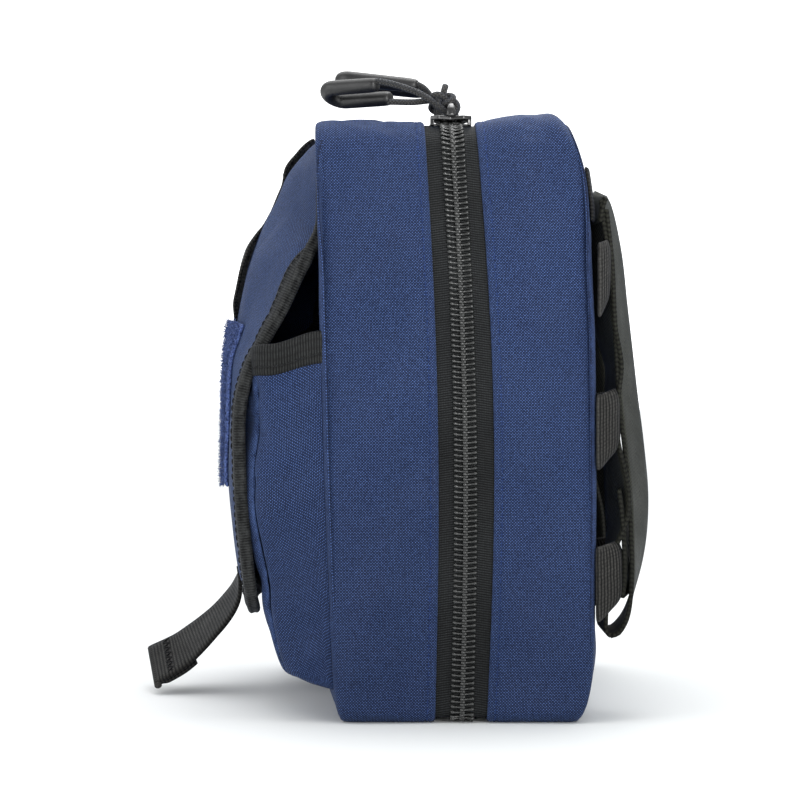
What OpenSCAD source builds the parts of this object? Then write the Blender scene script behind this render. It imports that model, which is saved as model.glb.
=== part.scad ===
// A padded utility pouch in woven nylon. Two deep halves close on a zip that runs up one
// side, over the top and down the other side, and they hinge on the fold of the base.
// The front half carries a bellows pocket under a bulging flap with a webbing pull.
// The back carries three rows of attachment webbing and two woven-in straps.
// X is the width, -Y is the front, +Z is up. The base stands on z = 0. The zip line starts
// at y = 0 there and leans a little to the front at the top.

/* [Body] */
// Outer width of both halves
body_w = 150; // [140:1:165]
// Outer height of both halves
body_h = 203; // [195:1:215]
// Radius of the two top corners
corner_r = 10; // [7:0.5:14]
// Radius of the two corners of the base
base_r = 4; // [3.5:0.5:6]
// Thickness of the outer fabric with its foam
wall_t = 2.2; // [1.8:0.1:2.6]
// Thickness of the lining fabric
lining_t = 0.8; // [0.5:0.1:1]
// Thickness of the board in the back panel
board_t = 1.5; // [1:0.1:2]

/* [Zip] */
// Distance from the zip line to the edge of each half
zip_gap = 9; // [8:0.5:11]
// How far the zip line leans to the front at the top
zip_lean = 3.4; // [0:0.1:4]
// Width of one side of the coil
coil_w = 3.7; // [3:0.1:4]
// Height of the coil above the tape
coil_h = 1.8; // [1.5:0.1:2]
// Thickness of the zip tape
tape_t = 0.6; // [0.4:0.1:0.8]
// Length of a slider
slider_l = 15; // [12:0.5:16]
// Width of a slider
slider_w = 14; // [12:0.5:15]
// Middle of the slider parked at the near corner
slider_near_x = 57; // [50:1:57]
// Middle of the other slider
slider_far_x = 37; // [30:1:37]

/* [Pulls] */
// Diameter of the moulded grip
grip_d = 4.7; // [4:0.1:5]
// Distance between the two limbs of a grip
grip_span = 9.8; // [9:0.1:10]
// Length of a grip
grip_l = 26; // [22:1:27]
// Diameter of the pull cord
cord_d = 2.2; // [1.8:0.1:2.2]
// Diameter of the tied knot
knot_d = 6.4; // [6:0.1:6.6]

/* [Front pocket] */
// Width of the pocket between its side walls
pocket_w = 140; // [130:1:142]
// Height of the pocket's mouth above the base
mouth_z = 128; // [115:1:132]
// Thickness of the pocket and flap fabric
cloth_t = 1.6; // [1.2:0.1:1.8]
// Width of the flap
flap_w = 134; // [120:1:136]
// Thickness of the flap
flap_t = 2; // [1.6:0.1:2.2]

/* [Webbing] */
// Width of all the webbing
webbing_w = 25.4; // [25:0.1:26]
// Thickness of the webbing
webbing_t = 1.6; // [1.4:0.1:1.6]
// Distance between the rows of webbing on the back
row_pitch = 50.8; // [50:0.1:51]
// Height of the middle of the lowest row
row_low_z = 46.4; // [44:0.1:48]
// Distance of each attachment strap from the middle
strap_x = 57; // [55:0.5:58]

/* [Hidden] */

$fn = 48;
far = 400;                        // longer than any part of the pouch
half_w = body_w / 2;
base_open_x = half_w - 15;        // the coil ends this far out under the base
tape_in = 12;                     // how far the tape runs under the edge of a half
coil_gap = 0.5;                   // from the zip line to each side of the coil
base_gap = 0.4;                   // from the fold of the base to the front half

// Outlines of the two halves seen from the side, from the zip line outwards
rear_side = [[0, 0], [40, 0], [43.5, 10], [45, 25], [45, 166], [42, 182],
    [36, body_h], [0, body_h]];
front_side = [[0, 0], [-41, 0], [-44, 14], [-47.5, 100], [-49.5, 192],
    [-49.5, body_h], [0, body_h]];

// Middle lines of the sewn sheets, seen from the side
flap_line = [[-51.2, 200.5], [-59, 190], [-67, 172], [-74, 152], [-77.5, 138],
    [-77.5, 60], [-75.5, 46], [-73, 37]];
flap_flat_y = -77.5;              // where the middle of the flap stands upright
pocket_line = [[-71.2, mouth_z], [-71.5, 100], [-71.5, 60], [-66.5, 42],
    [-62.5, 27], [-57, 16], [-50, 9.5], [-43.6, 7.5]];
tail_line = [[-79.8, 43.6], [-81, 36], [-86, 26], [-93, 19.5], [-104, 15.5],
    [-112, 10]];
tail_fold_line = [[-103.2, 13.9], [-111.2, 8.4]];
strap_line = [[46.6, 177], [52.5, 163], [56, 145], [58, 128], [61, 108],
    [63.5, 88], [64.5, 74], [63.5, 58], [61, 41], [57, 32], [52.2, 28.2]];
tuck_line = [[50, 27.8], [47.3, 30.6], [47, 34], [47, 60], [47, 86]];
anchor_line = [[46.1, 169], [45.7, 172], [42.9, 186]];
flap_webbing_line = [[-55, 198.4], [-60.4, 191.1], [-68.6, 172.6],
    [-75.7, 152.5], [-79.3, 138.2], [-79.3, 60], [-79.3, 45.6]];
row_arch_line = [[38, 45.9], [41, 46.2], [43.2, 49.2], [46, 49.8], [57, 50.1],
    [68, 49.8], [70.8, 49.2], [73, 46.2], [74.4, 45.9]];

// Slider and pull heights
coil_top_z = body_h - wall_t + coil_h;
slider_plate_z = coil_top_z + 0.3;
slider_top_z = slider_plate_z + 1.7;
pull_z = slider_top_z + 3.8;      // middle of the slider's bridge bar
bridge_r = 1;
// Where the middle of each grip's open end lies from its bridge bar, and its turn
grip_near_at = [0, -21, 4.7];
grip_near_turn = [-6, -24, -24];  // pitch, roll, yaw
grip_far_at = [0, -14.5, 8.6];
grip_far_turn = [-9, -20, -12];
// Routes of the two pull cords from grip, round the bridge bar and back to the grip
cord_near_route = [[4.2, -22.5, 6.6], [3.4, -17, 5.6], [2, -11, 3.8], [1.3, -6, 0.8],
    [1.1, -1.7, -1.7], [0.7, 0, -2.4], [0.3, 1.7, -1.7], [0, 2.4, 0],
    [-0.3, 1.7, 1.7], [-0.7, 0, 2.4], [-1.1, -2.4, 2.8], [-1.5, -7, 3.2],
    [-2.6, -13, 3], [-4.1, -19.2, 2.8]];
cord_far_route = [[4.4, -15, 10.1], [3.4, -11, 8.4], [2, -7, 5], [1.3, -4.5, 1],
    [1.1, -1.7, -1.7], [0.7, 0, -2.4], [0.3, 1.7, -1.7], [0, 2.4, 0],
    [-0.3, 1.7, 1.7], [-0.7, 0, 2.4], [-1.1, -2.4, 3.2], [-1.7, -5.5, 4.8],
    [-2.8, -9, 6], [-4.4, -13.4, 6.9]];
knot_near_at = [0, -4.6, 2.6];
knot_far_at = [0, -4.6, 2.6];

navy = "#22376b";
navy_lining = "#1c2c55";
black = "#1b1b1c";
charcoal = "#2a2a2c";
coil_grey = "#3a3a3a";
board_grey = "#55585c";

// Sweeps a (y, z) shape along X, and an (x, z) shape along Y
module along_x(x0, x1) {
    translate([x0, 0, 0]) rotate([90, 0, 90]) linear_extrude(x1 - x0) children();
}
module along_y(y0, y1) {
    translate([0, y1, 0]) rotate([90, 0, 0]) linear_extrude(y1 - y0) children();
}

// The upright outline of a half seen from the front, pulled in all round by inset
module upright(inset) {
    w = half_w - inset;
    top_r = max(corner_r - inset, 0.5);
    low_r = max(base_r - inset, 0.5);
    translate([-w, inset + low_r]) square([2 * w, body_h - 2 * inset - top_r - low_r]);
    translate([-w + top_r, inset + low_r])
        square([2 * (w - top_r), body_h - 2 * inset - low_r]);
    translate([-w + low_r, inset]) square([2 * (w - low_r), low_r + 1]);
    for (side = [-1, 1]) {
        translate([side * (w - top_r), body_h - inset - top_r]) circle(top_r);
        translate([side * (w - low_r), inset + low_r]) circle(low_r);
    }
}

// A band that follows the upright outline, between two insets and two distances from the
// zip line, which leans to the front as it rises
module ring(inset0, inset1, y0, y1) {
    intersection() {
        along_y(-far, far) difference() { upright(inset0); upright(inset1); }
        along_x(-half_w, half_w)
            polygon([[y0, 0], [y1, 0], [y1 - zip_lean, body_h], [y0 - zip_lean, body_h]]);
    }
}

// The same band without the stretch under the base, where the zip stops
module open_ring(inset0, inset1, y0, y1) {
    difference() {
        ring(inset0, inset1, y0, y1);
        translate([-base_open_x, y0 - 2, -1]) cube([2 * base_open_x, y1 - y0 + 4, 12]);
    }
}

// A sheet that follows a side outline, between two depths in from it
module face_sheet(side, depth0, depth1, inset) {
    intersection() {
        along_y(-far, far) upright(inset);
        along_x(-half_w, half_w) difference() {
            translate([depth0, 0]) polygon(side);
            translate([depth1, 0]) polygon(side);
            translate([min(depth1, 0) * 2, -1]) square([2 * abs(depth1), body_h + 2]);
        }
    }
}

// The points of a ribbon of thickness t about a middle line
function unit(v) = v / norm(v);
function across(p, i) =
    let (d = unit(p[min(i + 1, len(p) - 1)] - p[max(i - 1, 0)])) [-d[1], d[0]];
function ribbon(p, t) = concat(
    [for (i = [0 : len(p) - 1]) p[i] + across(p, i) * t / 2],
    [for (i = [len(p) - 1 : -1 : 0]) p[i] - across(p, i) * t / 2]);

// A round tube that follows a route, as one closed mesh
function tangent(p, i) = unit(p[min(i + 1, len(p) - 1)] - p[max(i - 1, 0)]);
function ring_points(p, i, r, sides) =
    let (d = tangent(p, i), u = unit(cross(d, [1, 0.2, 0.1])), v = cross(d, u))
    [for (k = [0 : sides - 1])
        p[i] + r * (cos(360 * k / sides) * u + sin(360 * k / sides) * v)];
module tube(p, d, sides = 8) {
    n = len(p);
    points = [for (i = [0 : n - 1]) each ring_points(p, i, d / 2, sides)];
    walls = [for (i = [0 : n - 2], k = [0 : sides - 1])
        let (a = i * sides + k, b = i * sides + (k + 1) % sides)
        [a, a + sides, b + sides, b]];
    first = [for (k = [0 : sides - 1]) k];
    last = [for (k = [sides - 1 : -1 : 0]) (n - 1) * sides + k];
    polyhedron(points, concat([first], walls, [last]), convexity = 6);
}

// Rear half

module rear_panel() {
    color(navy) face_sheet(rear_side, 0, -wall_t, wall_t);
}

// The wall round a half, with the strip of base that reaches the fold
module gusset(side, y0, y1, fold0, fold1) {
    intersection() {
        union() {
            ring(0, wall_t, y0, y1);
            translate([-base_open_x, fold0, 0]) cube([2 * base_open_x, fold1 - fold0, wall_t]);
        }
        along_x(-half_w, half_w) polygon(side);
    }
}
module rear_gusset() {
    color(navy) gusset(rear_side, zip_gap, 60, 0, zip_gap + 1);
}

module rear_board() {
    color(board_grey) face_sheet(rear_side, -wall_t, -wall_t - board_t, wall_t + lining_t + 2);
}

// A lining tray: the band under the wall and the sheet under the panel
module lining_tray(side, depth, y0, y1, toward) {
    sheet = depth + toward * lining_t;
    intersection() {
        ring(wall_t, wall_t + lining_t, y0, y1);
        along_x(-half_w, half_w) translate([sheet, 0]) polygon(side);
    }
    face_sheet(side, depth, sheet, wall_t);
}
module rear_lining() {
    color(navy_lining) lining_tray(rear_side, -wall_t - board_t, tape_in + 0.2, 60, -1);
}

module rear_zip_tape() {
    color(charcoal) open_ring(wall_t, wall_t + tape_t, coil_gap + 0.1, tape_in);
}
module rear_coil() {
    color(coil_grey) open_ring(wall_t - coil_h, wall_t, coil_gap, coil_gap + coil_w);
}

// A band of elastic sewn down between five shallow loops
loop_n = 5;
loop_pitch = 26;
loop_z = 96;
loop_y = rear_side[3][0] - wall_t - board_t - lining_t;
function loop_depth(x) = 3 * pow(sin(180 * x / loop_pitch), 2);
module elastic_loops() {
    half = loop_n * loop_pitch / 2;
    line = [for (k = [0 : 6 * loop_n])
        let (x = -half + k * loop_pitch / 6) [x, loop_y - 0.7 - loop_depth(x + half)]];
    color(black) translate([0, 0, loop_z]) linear_extrude(38) polygon(ribbon(line, 1.2));
}

module hinge_strip() {
    color(navy_lining) translate([-base_open_x + 4, 0.3, wall_t])
        cube([2 * base_open_x - 8, tape_in - 0.3, lining_t]);
}

module strap_anchor() {
    color(black) along_x(-half_w + 3, half_w - 3) polygon(ribbon(anchor_line, 1.2));
}

// One row of webbing, sewn flat in the middle, with an arch over each strap
module webbing_row(z) {
    left = [for (i = [len(row_arch_line) - 1 : -1 : 0])
        [-row_arch_line[i][0], row_arch_line[i][1]]];
    color(black) translate([0, 0, z - webbing_w / 2]) linear_extrude(webbing_w)
        polygon(ribbon(concat(left, row_arch_line), webbing_t));
}
module webbing_row_low() { webbing_row(row_low_z); }
module webbing_row_middle() { webbing_row(row_low_z + row_pitch); }
module webbing_row_top() { webbing_row(row_low_z + 2 * row_pitch); }

// A length of webbing across X = x that follows a side line
module webbing(line, x, t = webbing_t) {
    color(black) along_x(x - webbing_w / 2, x + webbing_w / 2) polygon(ribbon(line, t));
}
module strap_tuck_near() { webbing(tuck_line, strap_x); }
module strap_tuck_far() { webbing(tuck_line, -strap_x); }
module strap_near() { webbing(strap_line, strap_x); }
module strap_far() { webbing(strap_line, -strap_x); }

// Front half

module front_panel() {
    color(navy) face_sheet(front_side, 0, wall_t, wall_t);
}
module front_gusset() {
    color(navy) gusset(front_side, -60, -zip_gap, -zip_gap - 1, -base_gap);
}
module front_lining() {
    color(navy_lining) lining_tray(front_side, wall_t, -60, -tape_in - 0.2, 1);
}
module front_zip_tape() {
    color(charcoal) open_ring(wall_t, wall_t + tape_t, -tape_in, -coil_gap - 0.1);
}
module front_coil() {
    color(coil_grey) open_ring(wall_t - coil_h, wall_t, -coil_gap - coil_w, -coil_gap);
}

// A flat pocket on the lining inside the front half
inner_pocket_line = [[-37.6, 6], [-37, 30], [-37.6, 70], [-41, 112]];
module inner_pocket() {
    color(navy_lining) along_x(-half_w + 8, half_w - 8)
        polygon(ribbon(inner_pocket_line, lining_t));
}

module pocket_panel() {
    color(navy) along_x(-pocket_w / 2, pocket_w / 2) polygon(ribbon(pocket_line, cloth_t));
}
// A side wall fills the space between the front panel and the pocket's front
pocket_side_shape = concat(
    [for (p = pocket_line) if (p[1] > 8) p], [[-43.2, 9], [-44.1, 14], [-47.6, 100],
    [-48.2, mouth_z]]);
module pocket_side(x) {
    color(navy) along_x(x, x + cloth_t) polygon(pocket_side_shape);
}
module pocket_side_near() { pocket_side(pocket_w / 2); }
module pocket_side_far() { pocket_side(-pocket_w / 2 - cloth_t); }

// Grosgrain folded over the mouth's front edge and its two sides
binding_t = 0.6;
binding_h = 10;
module pocket_binding() {
    side = pocket_w / 2 + cloth_t;
    color(black) {
        translate([-side, -72.1 - binding_t, mouth_z - binding_h])
            cube([2 * side, binding_t, binding_h]);
        for (x = [side, -side - binding_t])
            translate([x, -72.1 - binding_t, mouth_z - binding_h])
                cube([binding_t, 24.5, binding_h]);
    }
}
module closure_loop() {
    color(charcoal) translate([-20, -73.9, 64]) cube([40, 1.5, 34]);
}

// Flap

module flap_panel() {
    color(navy) along_x(-flap_w / 2, flap_w / 2) polygon(ribbon(flap_line, flap_t));
}
// Grosgrain folded over both side edges and the lower edge of the flap
flap_edge_line = [for (p = flap_line) if (p[1] < 195) p];
module flap_binding() {
    color(black) {
        for (x = [flap_w / 2, -flap_w / 2 - binding_t])
            along_x(x, x + binding_t) polygon(ribbon(flap_edge_line, flap_t + 1));
        along_x(-flap_w / 2, flap_w / 2) polygon(ribbon([[-73, 36.6], [-72.7, 35.8]], flap_t));
    }
}
module flap_webbing() { webbing(flap_webbing_line, 0, 1.4); }
// A field of soft loop fabric, recessed over the webbing
module flap_loop_field() {
    color(navy) difference() {
        translate([-38, flap_flat_y - flap_t / 2 - 3.6, 73]) cube([76, 3.5, 64]);
        translate([-webbing_w / 2 - 0.1, flap_flat_y - 2.6, 70]) cube([webbing_w + 0.2, 4, 70]);
    }
}
module closure_hook() {
    color(charcoal) translate([-20, flap_flat_y + flap_t / 2, 64]) cube([40, 1.4, 34]);
}

// The webbing pull at the end of the flap, folded back and stitched at its tip
module pull_tail() {
    webbing(tail_line, 0);
    webbing(tail_fold_line, 0, 1.5);
}

// Zip sliders and pulls

// Plates above and below the coil, joined by a thin neck, with a bridge on top
module slider(x) {
    low_z = body_h - wall_t - tape_t - 1;
    post_x = 5.2;
    color(black) translate([x, -zip_lean, 0]) {
        translate([-slider_l / 2, -slider_w / 2, slider_plate_z])
            cube([slider_l, slider_w, slider_top_z - slider_plate_z]);
        translate([-slider_l / 2 + 1, -slider_w / 2 + 0.5, low_z - 1.3])
            cube([slider_l - 2, slider_w - 1, 1.3]);
        translate([-3, -0.3, low_z - 0.5]) cube([6, 0.6, slider_plate_z - low_z + 1]);
        for (side = [-1, 1])
            translate([side * post_x - 0.9, -1.2, slider_top_z - 0.5])
                cube([1.8, 2.4, pull_z - slider_top_z + 0.5 + bridge_r]);
        translate([-post_x, 0, pull_z]) rotate([0, 90, 0]) cylinder(h = 2 * post_x, r = bridge_r);
    }
}
module slider_near() { slider(slider_near_x); }
module slider_far() { slider(slider_far_x); }

module pull_cord(x, route, knot_at) {
    color(black) translate([x, -zip_lean, pull_z]) {
        tube(route, cord_d);
        translate(knot_at) sphere(d = knot_d, $fn = 12);
    }
}
module pull_cord_near() { pull_cord(slider_near_x, cord_near_route, knot_near_at); }
module pull_cord_far() { pull_cord(slider_far_x, cord_far_route, knot_far_at); }

// A moulded U: two limbs and a half ring, with its open end at the origin
module grip(x, at, turn) {
    limb = grip_l - (grip_span + grip_d) / 2;
    color(black) translate([x, -zip_lean, pull_z]) translate(at)
        rotate([0, 0, turn[2]]) rotate([turn[0], 0, 0]) rotate([0, turn[1], 0]) {
            for (side = [-1, 1])
                translate([side * grip_span / 2, 0, 0]) rotate([90, 0, 0])
                    cylinder(h = limb, d = grip_d);
            translate([0, -limb, 0]) rotate([0, 0, 180]) rotate_extrude(angle = 180)
                translate([grip_span / 2, 0]) circle(d = grip_d);
        }
}
module pull_grip_near() { grip(slider_near_x, grip_near_at, grip_near_turn); }
module pull_grip_far() { grip(slider_far_x, grip_far_at, grip_far_turn); }

rear_panel();
rear_gusset();
rear_board();
rear_lining();
rear_zip_tape();
rear_coil();
elastic_loops();
hinge_strip();
strap_anchor();
webbing_row_low();
webbing_row_middle();
webbing_row_top();
strap_tuck_near();
strap_tuck_far();
front_panel();
front_gusset();
front_lining();
front_zip_tape();
front_coil();
inner_pocket();
pocket_panel();
pocket_side_near();
pocket_side_far();
pocket_binding();
closure_loop();
flap_panel();
flap_binding();
flap_webbing();
flap_loop_field();
closure_hook();
pull_tail();
slider_near();
slider_far();
pull_cord_near();
pull_grip_near();
pull_cord_far();
pull_grip_far();
strap_near();
strap_far();
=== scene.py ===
"""A nylon utility pouch: fabric, zip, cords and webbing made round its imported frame."""

import math

import bmesh
import bpy
import numpy as np
from mathutils import Matrix, Vector


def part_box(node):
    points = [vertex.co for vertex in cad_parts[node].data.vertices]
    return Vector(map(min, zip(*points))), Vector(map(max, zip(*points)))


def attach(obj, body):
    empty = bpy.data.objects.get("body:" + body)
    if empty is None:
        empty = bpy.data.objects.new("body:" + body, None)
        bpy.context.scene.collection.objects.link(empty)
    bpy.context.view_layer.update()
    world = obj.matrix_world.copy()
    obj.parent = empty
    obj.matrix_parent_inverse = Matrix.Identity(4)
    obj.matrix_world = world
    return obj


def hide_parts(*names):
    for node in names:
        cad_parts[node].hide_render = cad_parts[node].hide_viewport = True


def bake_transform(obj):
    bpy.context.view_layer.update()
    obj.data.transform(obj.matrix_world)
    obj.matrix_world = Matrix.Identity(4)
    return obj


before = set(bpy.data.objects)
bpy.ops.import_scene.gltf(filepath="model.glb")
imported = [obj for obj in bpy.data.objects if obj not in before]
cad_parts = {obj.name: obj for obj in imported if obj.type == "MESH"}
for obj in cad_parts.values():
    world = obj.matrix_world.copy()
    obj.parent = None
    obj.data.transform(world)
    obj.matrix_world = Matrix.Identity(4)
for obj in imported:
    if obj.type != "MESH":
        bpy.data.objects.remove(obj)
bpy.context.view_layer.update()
MM = 0.001


def box_mm(node):
    """Lowest and highest corner of a frame node, in millimetres."""
    low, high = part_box(node)
    return np.array(low) / MM, np.array(high) / MM


# Sizes taken from the frame, in millimetres

HALF_W, BODY_H = box_mm("rear_gusset")[1][0], box_mm("rear_gusset")[1][2]
TOP_R, BASE_R = 10.0, 4.0
ZIP_LEAN = 3.4                       # how far the zip line leans to the front at the top
ZIP_BOW = 2.8                        # how far it bows to the rear half way up
OPEN_X = HALF_W - 15                 # the zip stops this far out under the base
WEB_W, WEB_T = 25.4, 1.5
STRAP_X = (box_mm("strap_near")[0][0] + box_mm("strap_near")[1][0]) / 2
ROWS = {name: (box_mm(name)[0][2] + box_mm(name)[1][2]) / 2
        for name in ("webbing_row_low", "webbing_row_middle", "webbing_row_top")}
SLIDERS = {side: (box_mm(f"slider_{side}")[0][0] + box_mm(f"slider_{side}")[1][0]) / 2
           for side in ("near", "far")}
PULL_Z = box_mm("slider_near")[1][2] - 1.0       # middle of the slider's bridge bar
FLAP_HALF = 67.0
POCKET_HALF = box_mm("pocket_side_near")[1][0] + 0.6

# Curves and numbers


def unit(v):
    v = np.asarray(v, float)
    return v / np.maximum(np.linalg.norm(v, axis=-1, keepdims=True), 1e-9)


def lengths(line):
    """Distance along a line at each of its points."""
    return np.concatenate([[0.0], np.cumsum(np.linalg.norm(np.diff(line, axis=0), axis=1))])


def even(line, step=None, count=None):
    """The same line with evenly spaced points."""
    line = np.asarray(line, float)
    along = lengths(line)
    count = count or max(2, int(round(along[-1] / step)) + 1)
    at = np.linspace(0, along[-1], count)
    return np.stack([np.interp(at, along, line[:, k]) for k in range(line.shape[1])], 1)


def smooth(points, step=None, count=None):
    """Evenly spaced points along a smooth curve through a few points."""
    p = np.asarray(points, float)
    p = np.vstack([2 * p[0] - p[1], p, 2 * p[-1] - p[-2]])
    t = np.linspace(0, 1, 16, endpoint=False)[:, None]
    parts = []
    for a, b, c, d in zip(p, p[1:], p[2:], p[3:]):
        parts.append(0.5 * (2 * b + (c - a) * t + (2 * a - 5 * b + 4 * c - d) * t ** 2
                            + (3 * b - a - 3 * c + d) * t ** 3))
    return even(np.vstack(parts + [p[-2:-1]]), step, count)


def graph(x, pairs):
    """A smooth value at x, from a few pairs of x and value with x rising."""
    line = smooth(pairs, 0.5)
    return np.interp(x, line[:, 0], line[:, 1])


def ease(x, start, end):
    """0 before start, 1 after end, smooth between."""
    t = np.clip((np.asarray(x, float) - start) / (end - start), 0, 1)
    return t * t * (3 - 2 * t)


def grid(*parts):
    """Arrays that broadcast together, stacked along a last axis."""
    return np.stack(np.broadcast_arrays(*parts), 2)


def upright(xz):
    """X and Z pairs as points or directions in space."""
    return np.stack([xz[:, 0], 0 * xz[:, 0], xz[:, 1]], 1)


def ripple(points, wave, seed, terms=7):
    """Smooth seeded noise of about -1 to 1 at points in millimetres."""
    rng = np.random.default_rng(seed)
    total = 0.0
    for _ in range(terms):
        way = unit(rng.normal(size=3)) * 2 * math.pi / (wave * rng.uniform(0.7, 1.6))
        total = total + np.sin(np.asarray(points) @ way + rng.uniform(0, 2 * math.pi))
    return total / math.sqrt(terms)


# Materials


def srgb(r, g, b):
    """A colour from 0 to 255 as linear values."""
    return tuple(((c / 255 + 0.055) / 1.055) ** 2.4 for c in (r, g, b)) + (1.0,)


SHEEN_TINT = (0.55, 0.68, 1.0, 1.0)


class Shade:
    """A material with one principled shader, and short ways to add nodes to it."""

    def __init__(self, name, sheen=0.0, specular=0.4, coat=0.0):
        self.material = bpy.data.materials.new(name)
        self.material.use_nodes = True
        self.tree = self.material.node_tree
        self.shader = self.tree.nodes["Principled BSDF"]
        values = {"Sheen Weight": sheen, "Sheen Roughness": 0.4, "Sheen Tint": SHEEN_TINT,
                  "Specular IOR Level": specular, "Coat Weight": coat, "Coat Roughness": 0.2}
        for key, value in values.items():
            self.shader.inputs[key].default_value = value

    def node(self, kind, values=None, **settings):
        made = self.tree.nodes.new("ShaderNode" + kind)
        for key, value in settings.items():
            setattr(made, key, value)
        for key, value in (values or {}).items():
            self.plug(made.inputs[key], value)
        return made

    def plug(self, socket, value):
        if isinstance(value, bpy.types.NodeSocket):
            self.tree.links.new(value, socket)
        else:
            socket.default_value = value

    def calc(self, operation, *values):
        return self.node("Math", dict(enumerate(values)), operation=operation).outputs[0]

    def times(self, a, b):
        return self.calc("MULTIPLY", a, b)

    def uv(self):
        """Distances across and along the cloth, in metres."""
        parts = self.node("SeparateXYZ", {0: self.node("TexCoord").outputs["UV"]})
        return parts.outputs[0], parts.outputs[1]

    def place(self):
        return self.node("TexCoord").outputs["Object"]

    def noise(self, scale, detail=2.0, vector=None):
        values = {"Scale": scale, "Detail": detail, "Vector": vector or self.place()}
        return self.node("TexNoise", values).outputs[0]

    def mix(self, share, a, b):
        made = self.node("Mix", {0: share}, data_type="RGBA")
        self.plug(made.inputs[6], a)
        self.plug(made.inputs[7], b)
        return made.outputs[2]

    def spread(self, value, low, high, to_low=0.0, to_high=1.0):
        values = {0: value, 1: low, 2: high, 3: to_low, 4: to_high}
        return self.node("MapRange", values).outputs[0]

    def wave(self, value, pitch, power=1.0):
        """|sin| along a distance, one hump for each pitch."""
        turned = self.calc("SINE", self.times(value, math.pi / pitch))
        return self.calc("POWER", self.calc("ABSOLUTE", turned), power)

    def wear(self):
        return self.node("Attribute", attribute_name="wear").outputs["Fac"]

    def done(self, colour, rough, height=None, depth=0.0001, strength=0.7):
        self.plug(self.shader.inputs["Base Color"], colour)
        self.plug(self.shader.inputs["Roughness"], rough)
        if height is not None:
            values = {"Height": height, "Distance": depth, "Strength": strength}
            self.plug(self.shader.inputs["Normal"], self.node("Bump", values).outputs[0])
        return self.material


def woven(name, dark, light, yarn, sheen, worn, depth):
    """Plain-woven cloth: warp and weft cells, with a painted highlight on the raised yarn where
    it would catch the light.
    """
    s = Shade(name, sheen=sheen, specular=0.15)
    u, v = s.uv()
    wobble = s.times(s.calc("SUBTRACT", s.noise(900, 1), 0.5), yarn * 0.35)
    u, v = s.calc("ADD", u, wobble), s.calc("SUBTRACT", v, wobble)
    across = s.calc("SINE", s.times(u, math.pi / yarn))
    along = s.calc("SINE", s.times(v, math.pi / yarn))
    checks = s.times(across, along)
    over = s.spread(checks, -0.12, 0.12)
    warp = s.times(s.wave(u, yarn, 0.8), s.wave(v, yarn, 0.3))
    weft = s.times(s.wave(v, yarn, 0.8), s.wave(u, yarn, 0.3))
    height = s.calc("ADD", s.times(weft, s.calc("SUBTRACT", 1.0, over)),
                    s.times(warp, over))
    # Painted highlight: the raised yarn tops are painted in the light colour and the hollows in
    # the dark one
    painted_highlight = s.times(s.calc("POWER", height, 2.8),
                   s.spread(over, 0, 1, 0.3, 1.2))
    painted_highlight = s.times(painted_highlight, s.spread(s.noise(1400, 1), 0.3, 0.7, 0.55, 1.15))
    base = s.mix(s.calc("MINIMUM", painted_highlight, 1.0), dark, light)
    cloudy = s.spread(s.noise(14, 3), 0.35, 0.65, 0.0, 0.16)
    base = s.mix(cloudy, base, tuple(c * 0.55 for c in dark[:3]) + (1.0,))
    base = s.mix(s.times(s.wear(), s.spread(s.noise(260, 3), 0.4, 0.7)), base, worn)
    rough = s.spread(s.noise(60, 2), 0.3, 0.7, 0.62, 0.8)
    return s.done(base, rough, height, depth)


def webbing(name, dark, light, rib, slant=0.0, column=1.1, depth=0.00025, selvedge=False):
    """Narrow webbing: ribs across it, or slanted ones that turn at the middle."""
    s = Shade(name, sheen=0.03, specular=0.12)
    u, v = s.uv()
    calm = s.spread(s.calc("ABSOLUTE", u), 0.0115, 0.0126, 1.0, 0.45 if selvedge else 1.0)
    lean = s.times(s.calc("ABSOLUTE", u), slant)
    wobble = s.times(s.calc("SUBTRACT", s.noise(500, 1), 0.5), rib * 0.3)
    ribs = s.wave(s.calc("ADD", s.calc("ADD", v, lean), wobble), rib, 1.5)
    columns = s.wave(u, column * MM, 0.5)
    height = s.times(s.times(ribs, s.spread(columns, 0, 1, 0.45, 1.0)),
                    calm)
    fibre = s.spread(s.noise(1600, 2), 0.3, 0.7, 0.6, 1.2)
    base = s.mix(s.calc("MINIMUM", s.times(height, fibre), 1.0), dark, light)
    base = s.mix(s.spread(s.noise(30, 3), 0.4, 0.7, 0.0, 0.3), base,
                 tuple(c * 0.6 for c in dark[:3]) + (1.0,))
    worn = tuple(min(1.0, c * 1.7) for c in light[:3]) + (1.0,)
    base = s.mix(s.times(s.wear(), s.spread(s.noise(400, 3), 0.4, 0.7)), base, worn)
    return s.done(base, s.spread(s.noise(90, 2), 0.3, 0.7, 0.55, 0.75), height, depth)


def moulded(name, colour, rough, grain, coat=0.0, scratch=0.0, size=700):
    """Moulded or enamelled plastic with a fine grain and rubbed places."""
    s = Shade(name, specular=0.5, coat=coat)
    fine = s.noise(size, 4)
    lighter = tuple(min(1.0, c * 2.0 + 0.01) for c in colour[:3]) + (1.0,)
    base = s.mix(s.spread(s.noise(120, 4), 0.45, 0.75, 0.0, 0.5 + scratch), colour, lighter)
    rough = s.spread(fine, 0.3, 0.7, rough - 0.06, rough + 0.1)
    return s.done(base, rough, fine, 0.00005, grain)


def braided(name, dark, light):
    """Round braided cord: two sets of strands that cross."""
    s = Shade(name, sheen=0.1, specular=0.4)
    u, v = s.uv()
    one = s.wave(s.calc("ADD", v, s.times(u, 0.8)), 0.0011, 0.6)
    two = s.wave(s.calc("SUBTRACT", v, s.times(u, 0.8)), 0.0011, 0.6)
    height = s.times(one, two)
    base = s.mix(s.times(height, s.spread(s.noise(1500), 0.3, 0.7, 0.6, 1.1)),
                 dark, light)
    return s.done(base, 0.7, height, 0.0003, 0.9)


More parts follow.
